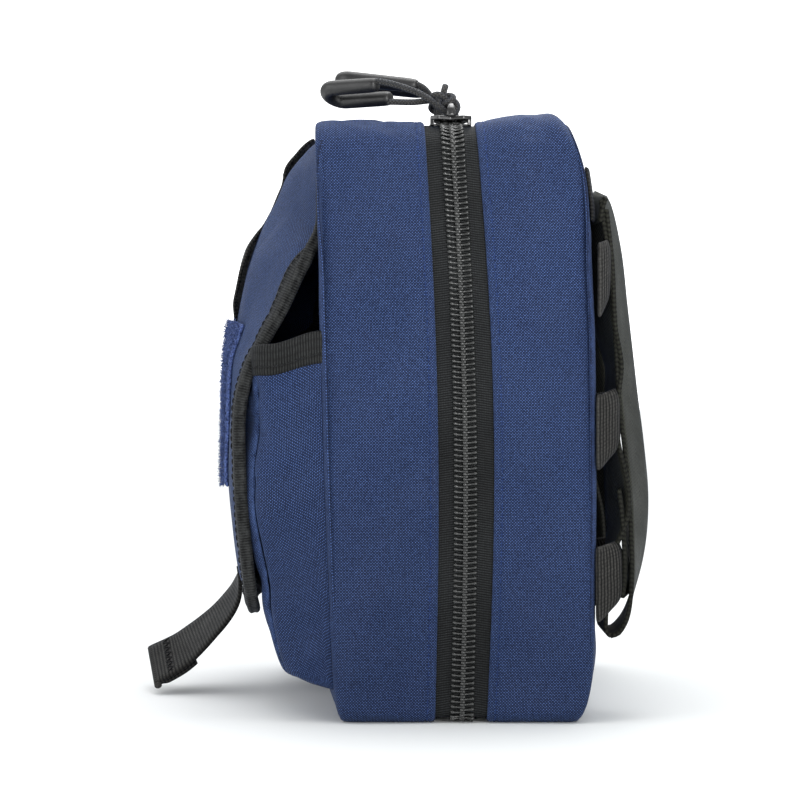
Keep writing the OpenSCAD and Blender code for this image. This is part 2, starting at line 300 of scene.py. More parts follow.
def speckled(name, dark, light, size, sheen=0.2):
    """Felted, looped or pressed fibre."""
    s = Shade(name, sheen=sheen, specular=0.25)
    fibre = s.noise(size, 5)
    base = s.mix(s.spread(fibre, 0.35, 0.68), dark, light)
    base = s.mix(s.spread(s.noise(40, 2), 0.4, 0.7, 0.0, 0.35), base, dark)
    return s.done(base, 0.9, fibre, 0.0004, 0.8)


NAVY = woven("navy_nylon", srgb(6, 12, 33), srgb(84, 111, 170), 0.00050, 0.08,
             srgb(80, 103, 154), 0.00017)
LINING = woven("navy_lining", srgb(12, 18, 38), srgb(32, 44, 82), 0.00030, 0.05,
               srgb(60, 74, 110), 0.00006)
TAPE = webbing("zip_tape_cloth", srgb(4, 4, 5), srgb(46, 48, 49), 0.0008, 0.15, 0.8,
               0.00018)
STRAP = webbing("strap_herringbone", srgb(5, 5, 4), srgb(66, 67, 57), 0.0016, 0.9,
                0.9, 0.00022, True)
ROW_WEB = webbing("row_webbing", srgb(5, 5, 5), srgb(66, 65, 63), 0.0013, 0.0, 1.3,
                  0.00028, True)
BINDING = webbing("binding_grosgrain", srgb(6, 6, 7), srgb(48, 49, 49), 0.00095, 0.0,
                  2.6)
ELASTIC = webbing("elastic_band", srgb(18, 18, 19), srgb(58, 58, 60), 0.0011, 0.0, 0.7)
COIL = moulded("coil_nylon", srgb(27, 28, 27), 0.26, 0.2, coat=0.5)
ENAMEL = moulded("slider_enamel", srgb(8, 8, 9), 0.24, 0.12, coat=0.6, scratch=0.2)
RUBBER = moulded("grip_rubber", srgb(14, 14, 15), 0.42, 0.5, size=1500)
CORD = braided("pull_cord_braid", srgb(6, 6, 7), srgb(66, 65, 63))
LOOPS = speckled("loop_field_nap", srgb(18, 29, 68), srgb(96, 117, 176), 1500)
HOOKS = speckled("hook_nap", srgb(16, 16, 18), srgb(58, 58, 62), 1800)
BOARD = speckled("pressed_board", srgb(70, 72, 75), srgb(120, 122, 126), 600, sheen=0.0)
BLUE_THREAD = webbing("blue_thread", srgb(20, 33, 72), srgb(58, 80, 134), 0.0004, 0.5)
BLACK_THREAD = webbing("black_thread", srgb(12, 12, 13), srgb(52, 52, 52), 0.0004, 0.5)

# Meshes


def mesh_object(name, vertices, faces, material, uvs=None, wear=None):
    """A smooth-shaded mesh from points in millimetres, with a UV pair for each point."""
    vertices = np.asarray(vertices, float)
    data = bpy.data.meshes.new(name)
    data.from_pydata((vertices * MM).tolist(), [], faces)
    data.materials.append(material)
    data.polygons.foreach_set("use_smooth", [True] * len(data.polygons))
    if uvs is not None:
        corner = np.empty(len(data.loops), np.int64)
        data.loops.foreach_get("vertex_index", corner)
        flat = (np.asarray(uvs, float)[corner] * MM).astype(np.float32)
        data.uv_layers.new(name="cloth").data.foreach_set("uv", flat.ravel())
    if wear is not None:
        attribute = data.attributes.new("wear", "FLOAT", "POINT")
        attribute.data.foreach_set("value", np.asarray(wear, np.float32).ravel())
    made = bpy.data.objects.new(name, data)
    bpy.context.scene.collection.objects.link(made)
    return made


def grid_faces(rows, cols, flip=False):
    faces = []
    for j in range(rows - 1):
        for i in range(cols - 1):
            a = j * cols + i
            quad = (a, a + 1, a + cols + 1, a + cols)
            faces.append(quad[::-1] if flip else quad)
    return faces


def smoothed(made):
    """The same object with its surface subdivided once."""
    modifier = made.modifiers.new("smooth", "SUBSURF")
    modifier.levels = modifier.render_levels = 1
    return made


def grid_object(name, points, material, thick=0.0, uv=None, wear=None, flip=False):
    """A sheet from a grid of points, thickened to the side away from its normals."""
    rows, cols = points.shape[:2]
    if uv is None:
        across = np.cumsum(np.linalg.norm(np.diff(points, axis=1), axis=2), axis=1)
        down = np.cumsum(np.linalg.norm(np.diff(points, axis=0), axis=2), axis=0)
        across = np.hstack([np.zeros((rows, 1)), across]).mean(0)
        uv = grid(across[None, :], np.vstack([np.zeros((1, cols)), down]))
    made = mesh_object(name, points.reshape(-1, 3), grid_faces(rows, cols, flip=flip),
                       material, uv.reshape(-1, 2), wear)
    if thick:
        solid = made.modifiers.new("cloth thickness", "SOLIDIFY")
        solid.thickness = thick * MM
        solid.offset = -1
    return smoothed(made)


class Sheet:
    """A smooth surface known by a grid of points at flat coordinates a (across), b (down)."""

    def __init__(self, points, a, b, flip=False):
        self.points, self.a, self.b = points, np.asarray(a, float), np.asarray(b, float)
        normal = np.cross(np.gradient(points, axis=1), np.gradient(points, axis=0))
        self.normals = unit(-normal if flip else normal)

    def look_up(self, values, a, b):
        i = np.interp(a, self.a, np.arange(len(self.a)))
        j = np.interp(b, self.b, np.arange(len(self.b)))
        i0 = np.clip(i.astype(int), 0, len(self.a) - 2)
        j0 = np.clip(j.astype(int), 0, len(self.b) - 2)
        s, t = (i - i0)[..., None], (j - j0)[..., None]
        return ((values[j0, i0] * (1 - s) + values[j0, i0 + 1] * s) * (1 - t)
                + (values[j0 + 1, i0] * (1 - s) + values[j0 + 1, i0 + 1] * s) * t)

    def facing(self, a, b):
        """Normals at flat coordinates."""
        return self.look_up(self.normals, a, b)

    def at(self, a, b, lift=0.0):
        """Points lifted off the surface at flat coordinates."""
        a, b = np.broadcast_arrays(np.asarray(a, float), np.asarray(b, float))
        lift = np.broadcast_to(np.asarray(lift, float), a.shape)[..., None]
        return self.look_up(self.points, a, b) + unit(self.facing(a, b)) * lift


def patch(name, sheet, a, b, material, lift, thick, wear=None, flip=False):
    """A piece of cloth that lies on a sheet, over a grid of flat coordinates."""
    a, b = np.broadcast_arrays(a, b)
    return grid_object(name, sheet.at(a, b, lift), material, thick, grid(a, b), wear, flip)


SWELL_FRAMES = 20


def swelled(points, held, pressure, slack, cap, flip=False):
    """A grid of cloth swelled by simulation, with its sewn points held where they are."""
    rows, cols = points.shape[:2]
    cloth = mesh_object("swelling", points.reshape(-1, 3), grid_faces(rows, cols, flip=flip),
                        NAVY)
    group = cloth.vertex_groups.new(name="sewn")
    for index, share in enumerate(np.asarray(held, float).ravel()):
        if share > 0:
            group.add([index], float(share), "REPLACE")
    modifier = cloth.modifiers.new("cloth", "CLOTH")
    settings = modifier.settings
    settings.quality = 6
    settings.mass = 0.25
    settings.tension_stiffness = settings.compression_stiffness = 25
    settings.shear_stiffness = 12
    settings.bending_stiffness = 1.5
    settings.vertex_group_mass = "sewn"
    settings.shrink_min = settings.shrink_max = -slack
    settings.use_pressure = True
    settings.uniform_pressure_force = pressure
    settings.effector_weights.gravity = 0
    modifier.point_cache.frame_start = 1
    modifier.point_cache.frame_end = SWELL_FRAMES
    for number in range(1, SWELL_FRAMES + 1):
        bpy.context.scene.frame_set(number)
    shaped = cloth.evaluated_get(bpy.context.evaluated_depsgraph_get())
    moved = np.empty(rows * cols * 3)
    shaped.data.vertices.foreach_get("co", moved)
    moved = moved.reshape(rows, cols, 3) / MM - points
    far = np.linalg.norm(moved, axis=2, keepdims=True)
    moved *= np.minimum(1.0, cap / np.maximum(far, 1e-6))
    bpy.context.scene.frame_set(1)
    bpy.data.objects.remove(cloth, do_unlink=True)
    return points + moved


def sweep(name, line, side, up, section, material, sizes=1.0):
    """A closed section of (side, up) offsets swept along a line, with capped ends."""
    line, section = np.asarray(line, float), np.asarray(section, float)
    count, ring = len(line), len(section)
    sizes = np.broadcast_to(sizes, count)[:, None, None]
    points = (line[:, None, :] + section[None, :, :1] * side[:, None, :] * sizes
              + section[None, :, 1:] * up[:, None, :] * sizes)
    faces = []
    for j in range(count - 1):
        for i in range(ring):
            a, b = j * ring + i, j * ring + (i + 1) % ring
            faces.append((a, b, b + ring, a + ring))
    faces.append(tuple(range(ring))[::-1])
    faces.append(tuple(range((count - 1) * ring, count * ring)))
    uv = grid(section[None, :, 0], lengths(line)[:, None])
    return mesh_object(name, points.reshape(-1, 3), faces, material, uv.reshape(-1, 2))


def web_section(width, thick, cells=8):
    """Flat webbing seen end on, with rounded edges."""
    x = np.linspace(-width / 2 + 0.3, width / 2 - 0.3, cells + 1)
    top = [(a, thick / 2) for a in x]
    low = [(a, -thick / 2) for a in x[::-1]]
    return top + [(width / 2, thick / 5), (width / 2, -thick / 5)] + low + [
        (-width / 2, -thick / 5), (-width / 2, thick / 5)]


def across_frames(line, twist):
    """Side and up vectors for a line in a Y-Z plane, turned about it by a twist in degrees."""
    way = unit(np.gradient(line, axis=0))
    side = np.tile([1.0, 0.0, 0.0], (len(line), 1))
    up = unit(np.cross(way, side))
    turn = np.radians(np.broadcast_to(twist, len(line)))[:, None]
    return side * np.cos(turn) + up * np.sin(turn), up * np.cos(turn) - side * np.sin(turn)


def strap(name, yz, x, material, twist, step=1.5):
    """A length of webbing across X that follows a smooth side line and twists about it."""
    line = smooth([(0.0, y, z) for y, z in yz], step)
    line[:, 0] = x
    side, up = across_frames(line, graph(np.linspace(0, 1, len(line)), twist))
    made = sweep(name, line, side, up, web_section(WEB_W, WEB_T), material)
    return made, line, side, up


def tube(name, line, radius, material, sides=10):
    """A round tube along a line, with frames that don't spin."""
    line = np.asarray(line, float)
    way = unit(np.gradient(line, axis=0))
    side = [unit(np.cross(way[0], [0.3, 0.2, 1.0]))]
    for t in way[1:]:
        side.append(unit(side[-1] - t * np.dot(side[-1], t)))
    side = np.array(side)
    up = np.cross(way, side)
    angle = np.arange(sides) * 2 * math.pi / sides
    section = np.stack([np.cos(angle), np.sin(angle)], 1)
    radius = np.broadcast_to(radius, len(line))
    made = sweep(name, line, side, up, section, material, radius)
    uv = grid((angle * radius.max())[None, :], lengths(line)[:, None]).reshape(-1, 2) * MM
    corner = np.empty(len(made.data.loops), np.int64)
    made.data.loops.foreach_get("vertex_index", corner)
    made.data.uv_layers[0].data.foreach_set("uv", uv[corner].astype(np.float32).ravel())
    return made


def joined(name, parts):
    """Several meshes as one object."""
    bpy.ops.object.select_all(action="DESELECT")
    for part in parts:
        part.select_set(True)
    bpy.context.view_layer.objects.active = parts[0]
    if len(parts) > 1:
        bpy.ops.object.join()
    parts[0].name = parts[0].data.name = name
    return parts[0]


def stitches(name, line, normals, material, pitch=3.0, length=2.3, radius=0.28, slant=0.0,
             zigzag=False):
    """A row of sewn stitches: short rounded threads that dip at both ends."""
    line, normals = np.asarray(line, float), np.asarray(normals, float)
    along = lengths(line)
    vertices, faces, uvs = [], [], []
    angle = np.arange(6) * math.pi / 3
    shares = np.array([-0.5, -0.38, -0.1, 0.1, 0.38, 0.5])
    sizes = np.array([0.45, 0.9, 1.0, 1.0, 0.9, 0.45])
    for number, start in enumerate(np.arange(pitch / 2, along[-1] - pitch / 4, pitch)):
        middle = [np.interp(start, along, line[:, k]) for k in range(3)]
        ahead = [np.interp(start + 0.5, along, line[:, k]) for k in range(3)]
        up = unit([np.interp(start, along, normals[:, k]) for k in range(3)])
        way = unit(np.subtract(ahead, middle))
        side = np.cross(way, up)
        way = unit(way + side * slant * (-1 if zigzag and number % 2 else 1))
        side = np.cross(way, up)
        first = len(vertices)
        for share, size in zip(shares, sizes):
            sink = radius * 1.4 * (2 * abs(share)) ** 3
            centre = np.array(middle) + way * share * length - up * sink
            for turn in angle:
                out = side * math.cos(turn) + up * math.sin(turn)
                vertices.append(centre + out * radius * size)
                uvs.append((turn * radius, share * length))
        for j in range(len(shares) - 1):
            for i in range(6):
                a, b = first + j * 6 + i, first + j * 6 + (i + 1) % 6
                faces.append((a, a + 6, b + 6, b))
        faces.append(tuple(range(first, first + 6)))
        faces.append(tuple(range(first + 30, first + 36))[::-1])
    return mesh_object(name, vertices, faces, material, uvs)


def sewn(name, sheet, a, b, lift, *sizes, **settings):
    """Black stitches along a line at flat coordinates of a sheet."""
    return stitches(name, sheet.at(a, b, lift), sheet.facing(a, b), BLACK_THREAD, *sizes,
                    **settings)


def finish_piece(piece, body, slot, *nodes, to=None, start=None, end=None):
    """Hangs a piece on its body, or bakes its place into its mesh when it goes to another part,
    and hides the frame nodes it stands for.
    """
    if to:
        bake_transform(piece)
    else:
        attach(piece, body)
    if nodes:
        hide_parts(*nodes)
    return piece


# Camera, lights and floor


SKY = 0.62
FLOOR_REACH = 30000.0                 # millimetres
DOME_RADIUS = 20.0                    # metres
LAMPS = {                             # kind, place, aim, power, size
    "ceiling": ("SUN", (-0.60, 0, 1.5), (0, 0, 0), 2.35, math.radians(80)),
    "overhead": ("AREA", (0.02, 0.04, 0.42), (0.03, 0.01, 0.18), 0.40, 0.18),
    "side_key": ("AREA", (0.62, 0.34, 0.18), (0.07, 0.0, 0.12), 1.35, 0.35),
    "side_fill": ("AREA", (0.85, -0.07, 0.15), (0.07, -0.03, 0.12), 0.8, 0.20),
    "front_fill": ("AREA", (0.30, -0.75, 0.34), (0, 0, 0.12), 2.6, 0.6),
    "top_wash": ("SPOT", (0.55, 0.19, 0.33), (0.07, 0.025, 0.225), 15.0, 0.12)}


def lamp(name, kind, place, aim, power, size):
    """A light that points at a place; size is a width in metres or an angle."""
    light = bpy.data.lights.new(name, kind)
    light.energy = power
    if kind == "SUN":
        light.angle = size
    elif kind == "SPOT":
        light.shadow_soft_size = size
        light.spot_size, light.spot_blend = math.radians(24), 1.0
    else:
        light.size = size
    made = bpy.data.objects.new(name, light)
    made.location = place
    made.rotation_euler = (Vector(aim) - Vector(place)).to_track_quat("-Z", "Y").to_euler()
    made.visible_camera = False
    bpy.context.scene.collection.objects.link(made)


def studio():
    """A level camera at the side of the pouch, soft light from above and a pale floor."""
    data = bpy.data.cameras.new("camera")
    data.lens, data.sensor_width = 86.4, 36.0
    camera = bpy.data.objects.new("camera", data)
    camera.location = (0.715, -0.0207, 0.108)
    camera.rotation_euler = (math.radians(90), 0, math.radians(90))
    bpy.context.scene.collection.objects.link(camera)
    bpy.context.scene.camera = camera

    world = bpy.data.worlds.new("studio")
    world.use_nodes = True
    sky = world.node_tree.nodes["Background"]
    sky.inputs["Color"].default_value = (0.97, 0.99, 1.0, 1.0)
    sky.inputs["Strength"].default_value = SKY
    seen = world.node_tree.nodes.new("ShaderNodeBackground")
    rays = world.node_tree.nodes.new("ShaderNodeLightPath")
    either = world.node_tree.nodes.new("ShaderNodeMixShader")
    seen.inputs["Color"].default_value = (1.0, 1.0, 1.0, 1.0)
    join = world.node_tree.links.new
    join(rays.outputs["Is Camera Ray"], either.inputs[0])
    join(sky.outputs[0], either.inputs[1])
    join(seen.outputs[0], either.inputs[2])
    join(either.outputs[0], world.node_tree.nodes["World Output"].inputs[0])
    bpy.context.scene.world = world
    bpy.context.scene.view_settings.view_transform = "Standard"
    for name, settings in LAMPS.items():
        lamp(name, *settings)

    s = Shade("pale_floor", specular=0.0)
    pale = s.mix(s.spread(s.noise(3, 2), 0.3, 0.7, 0.0, 1.0), (0.79, 0.81, 0.812, 1),
                 (0.82, 0.83, 0.832, 1))
    s.done(pale, 0.8)
    corners = [(-1, -1, 0), (1, -1, 0), (1, 1, 0), (-1, 1, 0)]
    floor = mesh_object("floor", np.array(corners) * FLOOR_REACH, [(0, 1, 2, 3)], s.material)
    s = Shade("pale_backdrop", specular=0.0)
    s.plug(s.shader.inputs["Emission Color"], (1.0, 1.0, 1.0, 1.0))
    s.plug(s.shader.inputs["Emission Strength"], 1.0)
    s.done((0.9, 0.9, 0.9, 1), 0.9)
    bpy.ops.mesh.primitive_uv_sphere_add(radius=DOME_RADIUS, segments=48, ring_count=24)
    dome = bpy.context.object
    dome.name = "backdrop"
    dome.data.materials.append(s.material)
    dome.visible_diffuse = dome.visible_glossy = dome.visible_shadow = False
    dome.visible_transmission = dome.visible_volume_scatter = False


studio()

# Pull cords, grips and sliders

CORD_D = 2.2
CORD_ROUTES = {
    "near": [[2.3, -26.8, 8.2], [3.7, -24.6, 8.2], [3.6, -18, 6.8], [2.4, -11, 4.4],
             [1.3, -5.5, 1.2], [1.1, -1.7, -1.7], [0.7, 0, -2.4], [0.3, 1.7, -1.7],
             [0, 2.4, 0], [-0.3, 1.7, 1.7], [-0.7, 0, 2.4], [-1.1, -2.4, 2.7],
             [-1.6, -7, 2.5], [-2.2, -13, 2.0], [-2.7, -20, 2.2], [-4.1, -22.4, 2.3]],
    "far": [[4.2, -14.6, 10.8], [4.8, -11.4, 10.3], [3.7, -8, 8.2], [2, -4.8, 3.4],
            [1.1, -1.7, -1.7], [0.7, 0, -2.4], [0.3, 1.7, -1.7], [0, 2.4, 0],
            [-0.3, 1.7, 1.7], [-0.7, 0, 2.4], [-1.1, -2.4, 3.2], [-1.8, -4.8, 5.0],
            [-3.2, -7.2, 8.0], [-4.7, -10.2, 9.6], [-5.4, -13.2, 10.2]]}
KNOT_AT = np.array([0, -2.7, 2.1])
KNOT_TAIL = [[0, 0.2, 1.0], [0.4, 0.4, 3.0], [0.3, 0.7, 4.2], [-0.2, 1.0, 5.2]]
GRIPS = {"near": ((0.5, -22.5, 5.2), (-2, -23, -34), 26.0),   # place; pitch, roll, yaw; length
         "far": ((0, -9.8, 9.4), (-8, -4, -12), 31.5)}
GRIP_D, GRIP_SPAN = 5.3, 9.0


def knot(name, at, tail):
    """An overhand knot: a small trefoil of the same cord with a short end."""
    t = np.linspace(0, 2 * math.pi, 90)
    loop = np.stack([1.5 * np.sin(3 * t), 1.35 * (np.sin(t) + 2 * np.sin(2 * t)),
                     1.0 * (np.cos(t) - 2 * np.cos(2 * t))], 1)
    parts = [tube(name, loop + at, CORD_D / 2 * 0.92, CORD, 10),
             tube("end", smooth(np.array(tail) + at, 0.6), CORD_D / 2 * 1.05, CORD, 10)]
    return joined(name, parts)


def grip_line(side):
    """The middle line of a moulded U-shaped grip."""
    at, (pitch, roll, yaw), long = GRIPS[side]
    half, limb = GRIP_SPAN / 2, long - (GRIP_SPAN + GRIP_D) / 2
    turn = np.linspace(0, math.pi, 25)[1:-1]
    bend = np.stack([half * np.cos(turn), -limb - half * np.sin(turn), 0 * turn], 1)
    legs = np.linspace(0, -limb, 12)
    line = np.vstack([np.stack([half + 0 * legs, legs, 0 * legs], 1), bend,
                      np.stack([-half + 0 * legs, legs[::-1], 0 * legs], 1)])
    turned = (Matrix.Rotation(math.radians(yaw), 3, "Z")
              @ Matrix.Rotation(math.radians(pitch), 3, "X")
              @ Matrix.Rotation(math.radians(roll), 3, "Y"))
    return line @ np.array(turned).T + np.array(at)


def grip(name, side, origin):
    """A grip with rounded mouths and a thicker bend."""
    line = grip_line(side) + origin
    share = np.linspace(-1, 1, len(line))
    radius = GRIP_D / 2 * (0.97 + 0.05 * (1 - share ** 2))
    radius[[0, -1]] *= 0.90
    radius[[1, -2]] *= 0.97
    return smoothed(tube(name, line, radius, RUBBER, 16))


def rounded_plate(name, outline, low, high, material, round_off=0.4):
    """A flat plate with rounded edges, from an outline in X and Y."""
    mesh = bmesh.new()
    base = [mesh.verts.new(Vector((x, y, low)) * MM) for x, y in outline]
    face = mesh.faces.new(base)
    raised = bmesh.ops.extrude_face_region(mesh, geom=[face])["geom"]
    tops = [v for v in raised if isinstance(v, bmesh.types.BMVert)]
    bmesh.ops.translate(mesh, verts=tops, vec=(0, 0, (high - low) * MM))
    bmesh.ops.recalc_face_normals(mesh, faces=mesh.faces)
    data = bpy.data.meshes.new(name)
    mesh.to_mesh(data)
    mesh.free()
    data.materials.append(material)
    data.uv_layers.new(name="cloth")
    made = bpy.data.objects.new(name, data)
    bpy.context.scene.collection.objects.link(made)
    bevel = made.modifiers.new("edges", "BEVEL")
    bevel.width, bevel.segments, bevel.limit_method = round_off * MM, 3, "ANGLE"
    bpy.context.view_layer.objects.active = made
    bpy.ops.object.modifier_apply(modifier="edges")
    data.polygons.foreach_set("use_smooth", [True] * len(data.polygons))
    return made


def slider(name, x):
    """A two-sided coil slider: shield-shaped plates, side lips and a bridge."""
    low, high = box_mm(name)
    top = PULL_Z - 3.8
    half, long = (high[1] - low[1]) / 2, (high[0] - low[0]) / 2
    shield = [(-long, -2.2), (-long * 0.8, -half * 0.62), (-long * 0.35, -half * 0.74),
              (long * 0.15, -half), (long * 0.8, -half), (long, -half * 0.6),
              (long * 0.72, 0)]
    shield = shield + [(a, -b) for a, b in shield[-2::-1]]
    parts = [rounded_plate(name, shield, top - 1.5, top, ENAMEL),
             rounded_plate("under", [(a * 0.92, b * 0.9) for a, b in shield],
                           low[2] + 0.1, low[2] + 1.3, ENAMEL)]
    for side in (-1, 1):
        lip = [(long * 0.1, side * half), (long * 0.8, side * half),
               (long * 0.85, side * (half - 1.3)), (long * 0.1, side * (half - 1.3))]
        parts.append(rounded_plate("lip", lip, top - 3.4, top - 0.5, ENAMEL, 0.3))
    arch = smooth([(-6.2, 0, top - 0.4), (-5.7, 0, top + 1.8), (-4.6, 0, top + 3.5),
                   (-2.5, 0, PULL_Z), (2.5, 0, PULL_Z), (4.6, 0, top + 3.5),
                   (5.7, 0, top + 1.8), (6.2, 0, top - 0.4)], 0.7)
    way = unit(np.gradient(arch, axis=0))
    side = np.tile([0.0, 1.0, 0.0], (len(arch), 1))
    up = np.cross(way, side)
    bar = [(1.0, 0.55), (0.55, 0.95), (-0.55, 0.95), (-1.0, 0.55), (-1.0, -0.55),
           (-0.55, -0.95), (0.55, -0.95), (1.0, -0.55)]
    wide = 1 + 0.55 * ease(np.abs(arch[:, 0]), 4.4, 6.0)
    parts.append(sweep("bridge", arch, side, up, bar, ENAMEL, wide))
    made = joined(name + "_body", parts)
    made.location = Vector((x, -ZIP_LEAN, 0)) * MM
    return made


def pulls():
    """Both sliders with their cords, knots and grips."""
    for side, x in SLIDERS.items():
        origin = np.array([x, -ZIP_LEAN, PULL_Z])
        route = np.array(CORD_ROUTES[side]) + origin
        line = smooth(route, 0.5)
        cord = tube(f"pull_cord_{side}_braid", line, CORD_D / 2, CORD, 12)
        tie = knot(f"pull_knot_{side}", origin + KNOT_AT,
                   KNOT_TAIL)
        held = grip(f"pull_grip_{side}_moulded", side, origin)
        body = f"pull_{side}"
        finish_piece(cord, body, "pull_cord", f"pull_cord_{side}")
        finish_piece(tie, body, "pull_cord")
        finish_piece(held, body, "grip_rubber", f"pull_grip_{side}")
        finish_piece(slider(f"slider_{side}", x), f"zip_slider_{side}", "slider_enamel",
                     f"slider_{side}")


pulls()

# The two halves


def zip_y(z):
    """Where the middle of the zip runs at a height."""
    share = np.asarray(z, float) / BODY_H
    return -ZIP_LEAN * share + ZIP_BOW * np.sin(math.pi * np.clip(share, 0, 1))


def lean_in(z):
    """How far the side walls lean inwards near the top."""
    return 6.8 * ease(z, 152, 222)


def outline(inset, step=1.5):
    """The upright outline of a half as X and Z, from the middle of the base round by +X."""
    w, top = HALF_W - inset, BODY_H - inset
    rt, rb = TOP_R - inset, BASE_R - inset
    turn = np.linspace(0, math.pi / 2, 12)
    low = np.stack([w - rb + rb * np.sin(turn), inset + rb - rb * np.cos(turn)], 1)
    high = np.stack([w - rt + rt * np.cos(turn), top - rt + rt * np.sin(turn)], 1)
    half = np.vstack([[(0, inset)], low, high, [(0, top)]])
    half[:, 0] -= lean_in(half[:, 1]) * ease(half[:, 0], 20, 60)
    other = half[-2::-1] * [-1, 1]
    return even(np.vstack([half, other]), step)


def outward(xz):
    way = unit(np.gradient(xz, axis=0))
    way[0] = way[-1] = (1, 0)
    return np.stack([way[:, 1], -way[:, 0]], 1)


REAR_EDGE = [(0, 39.6), (8, 42.6), (20, 44.2), (45, 44.8), (80, 45), (130, 44.6),
             (166, 43), (182, 41.8), (192, 39.5), (203, 35.6)]
FRONT_EDGE = [(0, -41), (14, -43.2), (40, -44.6), (80, -46.2), (130, -47.6),
              (170, -48.8), (203, -49.8)]
HEMS = {"rear": (8.0, 4.2), "front": (-8.7, 2.8)}        # at the base, and its bow
SHELLS = {
    "rear": dict(edge=REAR_EDGE, sign=1, body="rear_half", seed=3),
    "front": dict(edge=FRONT_EDGE, sign=-1, body="front_half", seed=8)}


def hem_y(which, x, z):
    """Where the hem beside the zip runs; under the base it closes in to the fold."""
    base, bow = HEMS[which]
    y = base - 3.6 * z / BODY_H + bow * np.sin(math.pi * z / BODY_H)
    fold = 1.2 if which == "rear" else -1.2
    closed = ease(np.abs(x), OPEN_X + 2, OPEN_X - 5) * (z < 2.5)
    return y + (fold - y) * closed


HEM_COLUMNS = np.array([0, 0.5, 1.3, 2.4, 3.0, 3.6, 4.8, 7.0])
HEM_LIFTS = np.array([-1.3, -0.45, 0.0, -0.05, -0.35, -0.05, 0.05, 0.05])
EDGE_COLUMNS = np.array([3.0, 1.6, 0.7, 0.0])
EDGE_LIFTS = np.array([0.0, -0.12, -0.5, -1.4])
INNER_COLUMNS = 14


def gusset(which):
    """The wall round one half, hemmed beside the zip and turned in at its outer seam."""
    shell = SHELLS[which]
    xz = outline(0.0)
    out = outward(xz)
    hem = hem_y(which, xz[:, 0], xz[:, 1])
    edge = graph(xz[:, 1], shell["edge"])
    width = np.abs(edge - hem)
    start, end = HEM_COLUMNS[-1], width - EDGE_COLUMNS[0]
    between = np.arange(1, INNER_COLUMNS)[:, None]
    d = np.vstack([HEM_COLUMNS[:, None] + 0 * width,
                   start + (end - start) * between / INNER_COLUMNS,
                   width - EDGE_COLUMNS[:, None]])
    share = d / width
    y = hem + (edge - hem) * share
    points = grid(xz[:, 0], y, xz[:, 1])
    direction = upright(out)[None]
    # Soft crowning that dies out at the seams and under the base
    free = np.clip(ease(d, 5, 16) * ease(width - d, 0, 5), 0, 1)
    free = free * ease(-out[:, 1], 0.6, -0.2)[None, :]
    bulge = free * (0.9 + 0.75 * ripple(points, 55, shell["seed"]))
    if which == "front":
        bulge = bulge * (1 - 0.6 * ease(out[:, 1], 0.3, 0.9))[None, :]
    else:
        top = ease(points[..., 2], 168, 196) * ease(share, 0.35, 0.8) * ease(width - d, 0, 5)
        bulge = bulge + top * (0.5 + 0.9 * ripple(points * [0.6, 1, 1.2], 19, 5))
        level_top = ease(out[:, 1], 0.3, 0.9)[None, :]
        bulge = bulge + 1.2 * level_top * ease(d, 1, 9) * ease(width - d, 2, 16)
    held = np.ones(y.shape)
    held[9:-5] = 0.0
    held = np.maximum(held, (out[:, 1] < -0.5)[None, :])
    lifts = np.concatenate([HEM_LIFTS, np.zeros(INNER_COLUMNS - 1), EDGE_LIFTS])
    points = points + direction * (lifts[:, None] + bulge)[..., None]
    front = which == "front"
    points = swelled(points, held, 1.2, slack=0.012, cap=2.2, flip=front)
    wear = np.exp(-d / 0.7) * 0.22 + np.exp(-(width - d) / 0.7) * 0.08
    name = f"{which}_gusset"
    piece = grid_object(name + "_cloth", points, NAVY, 1.4, wear=wear, flip=not front)
    finish_piece(piece, shell["body"], "navy_nylon", name)
    # Topstitching three millimetres in from the hem
    line = points[4]
    keep = (np.abs(xz[:, 0]) > OPEN_X + 3) | (xz[:, 1] > 2.5)
    keep[[0, -1]] = False
    seam = stitches(name + "_topstitch", line[keep] + direction[0][keep] * 0.12,
                    direction[0][keep], BLUE_THREAD, 3.1, 2.5, 0.24)
    finish_piece(seam, shell["body"], "navy_nylon")


gusset("rear")
gusset("front")


def face_grid(inset, nx=40, nz=56):
    """X and Z over the upright outline, closer together near its ends."""
    v = (1 - np.cos(np.linspace(0, math.pi, nz))) / 2
    v = 0.55 * v + 0.45 * np.linspace(0, 1, nz)
    z = inset + v * (BODY_H - 2 * inset)
    drop_top = np.clip(z - (BODY_H - TOP_R), 0, TOP_R - inset)
    drop_low = np.clip(BASE_R - z, 0, BASE_R - inset)
    w = (HALF_W - inset - (TOP_R - inset) + np.sqrt(np.maximum(
        (TOP_R - inset) ** 2 - drop_top ** 2 * ((TOP_R - inset) / TOP_R) ** 2, 0)))
    w = np.minimum(w, HALF_W - inset - BASE_R + inset + np.sqrt(np.maximum(
        (BASE_R - inset) ** 2 - drop_low ** 2, 0)))
    w = w - lean_in(z)
    u = np.sin(np.linspace(-math.pi / 2, math.pi / 2, nx)) * 0.4 + np.linspace(-1, 1, nx) * 0.6
    return u[None, :] * w[:, None], np.repeat(z[:, None], nx, 1)


def front_recess(x, z):
    """The front is pressed in beside its upper side seams, where the flap's edges lie."""
    return 4.2 * ease(z, 140, 165) * ease(HALF_W - 3 - np.abs(x), 0, 4) * ease(np.abs(x), 20, 50)


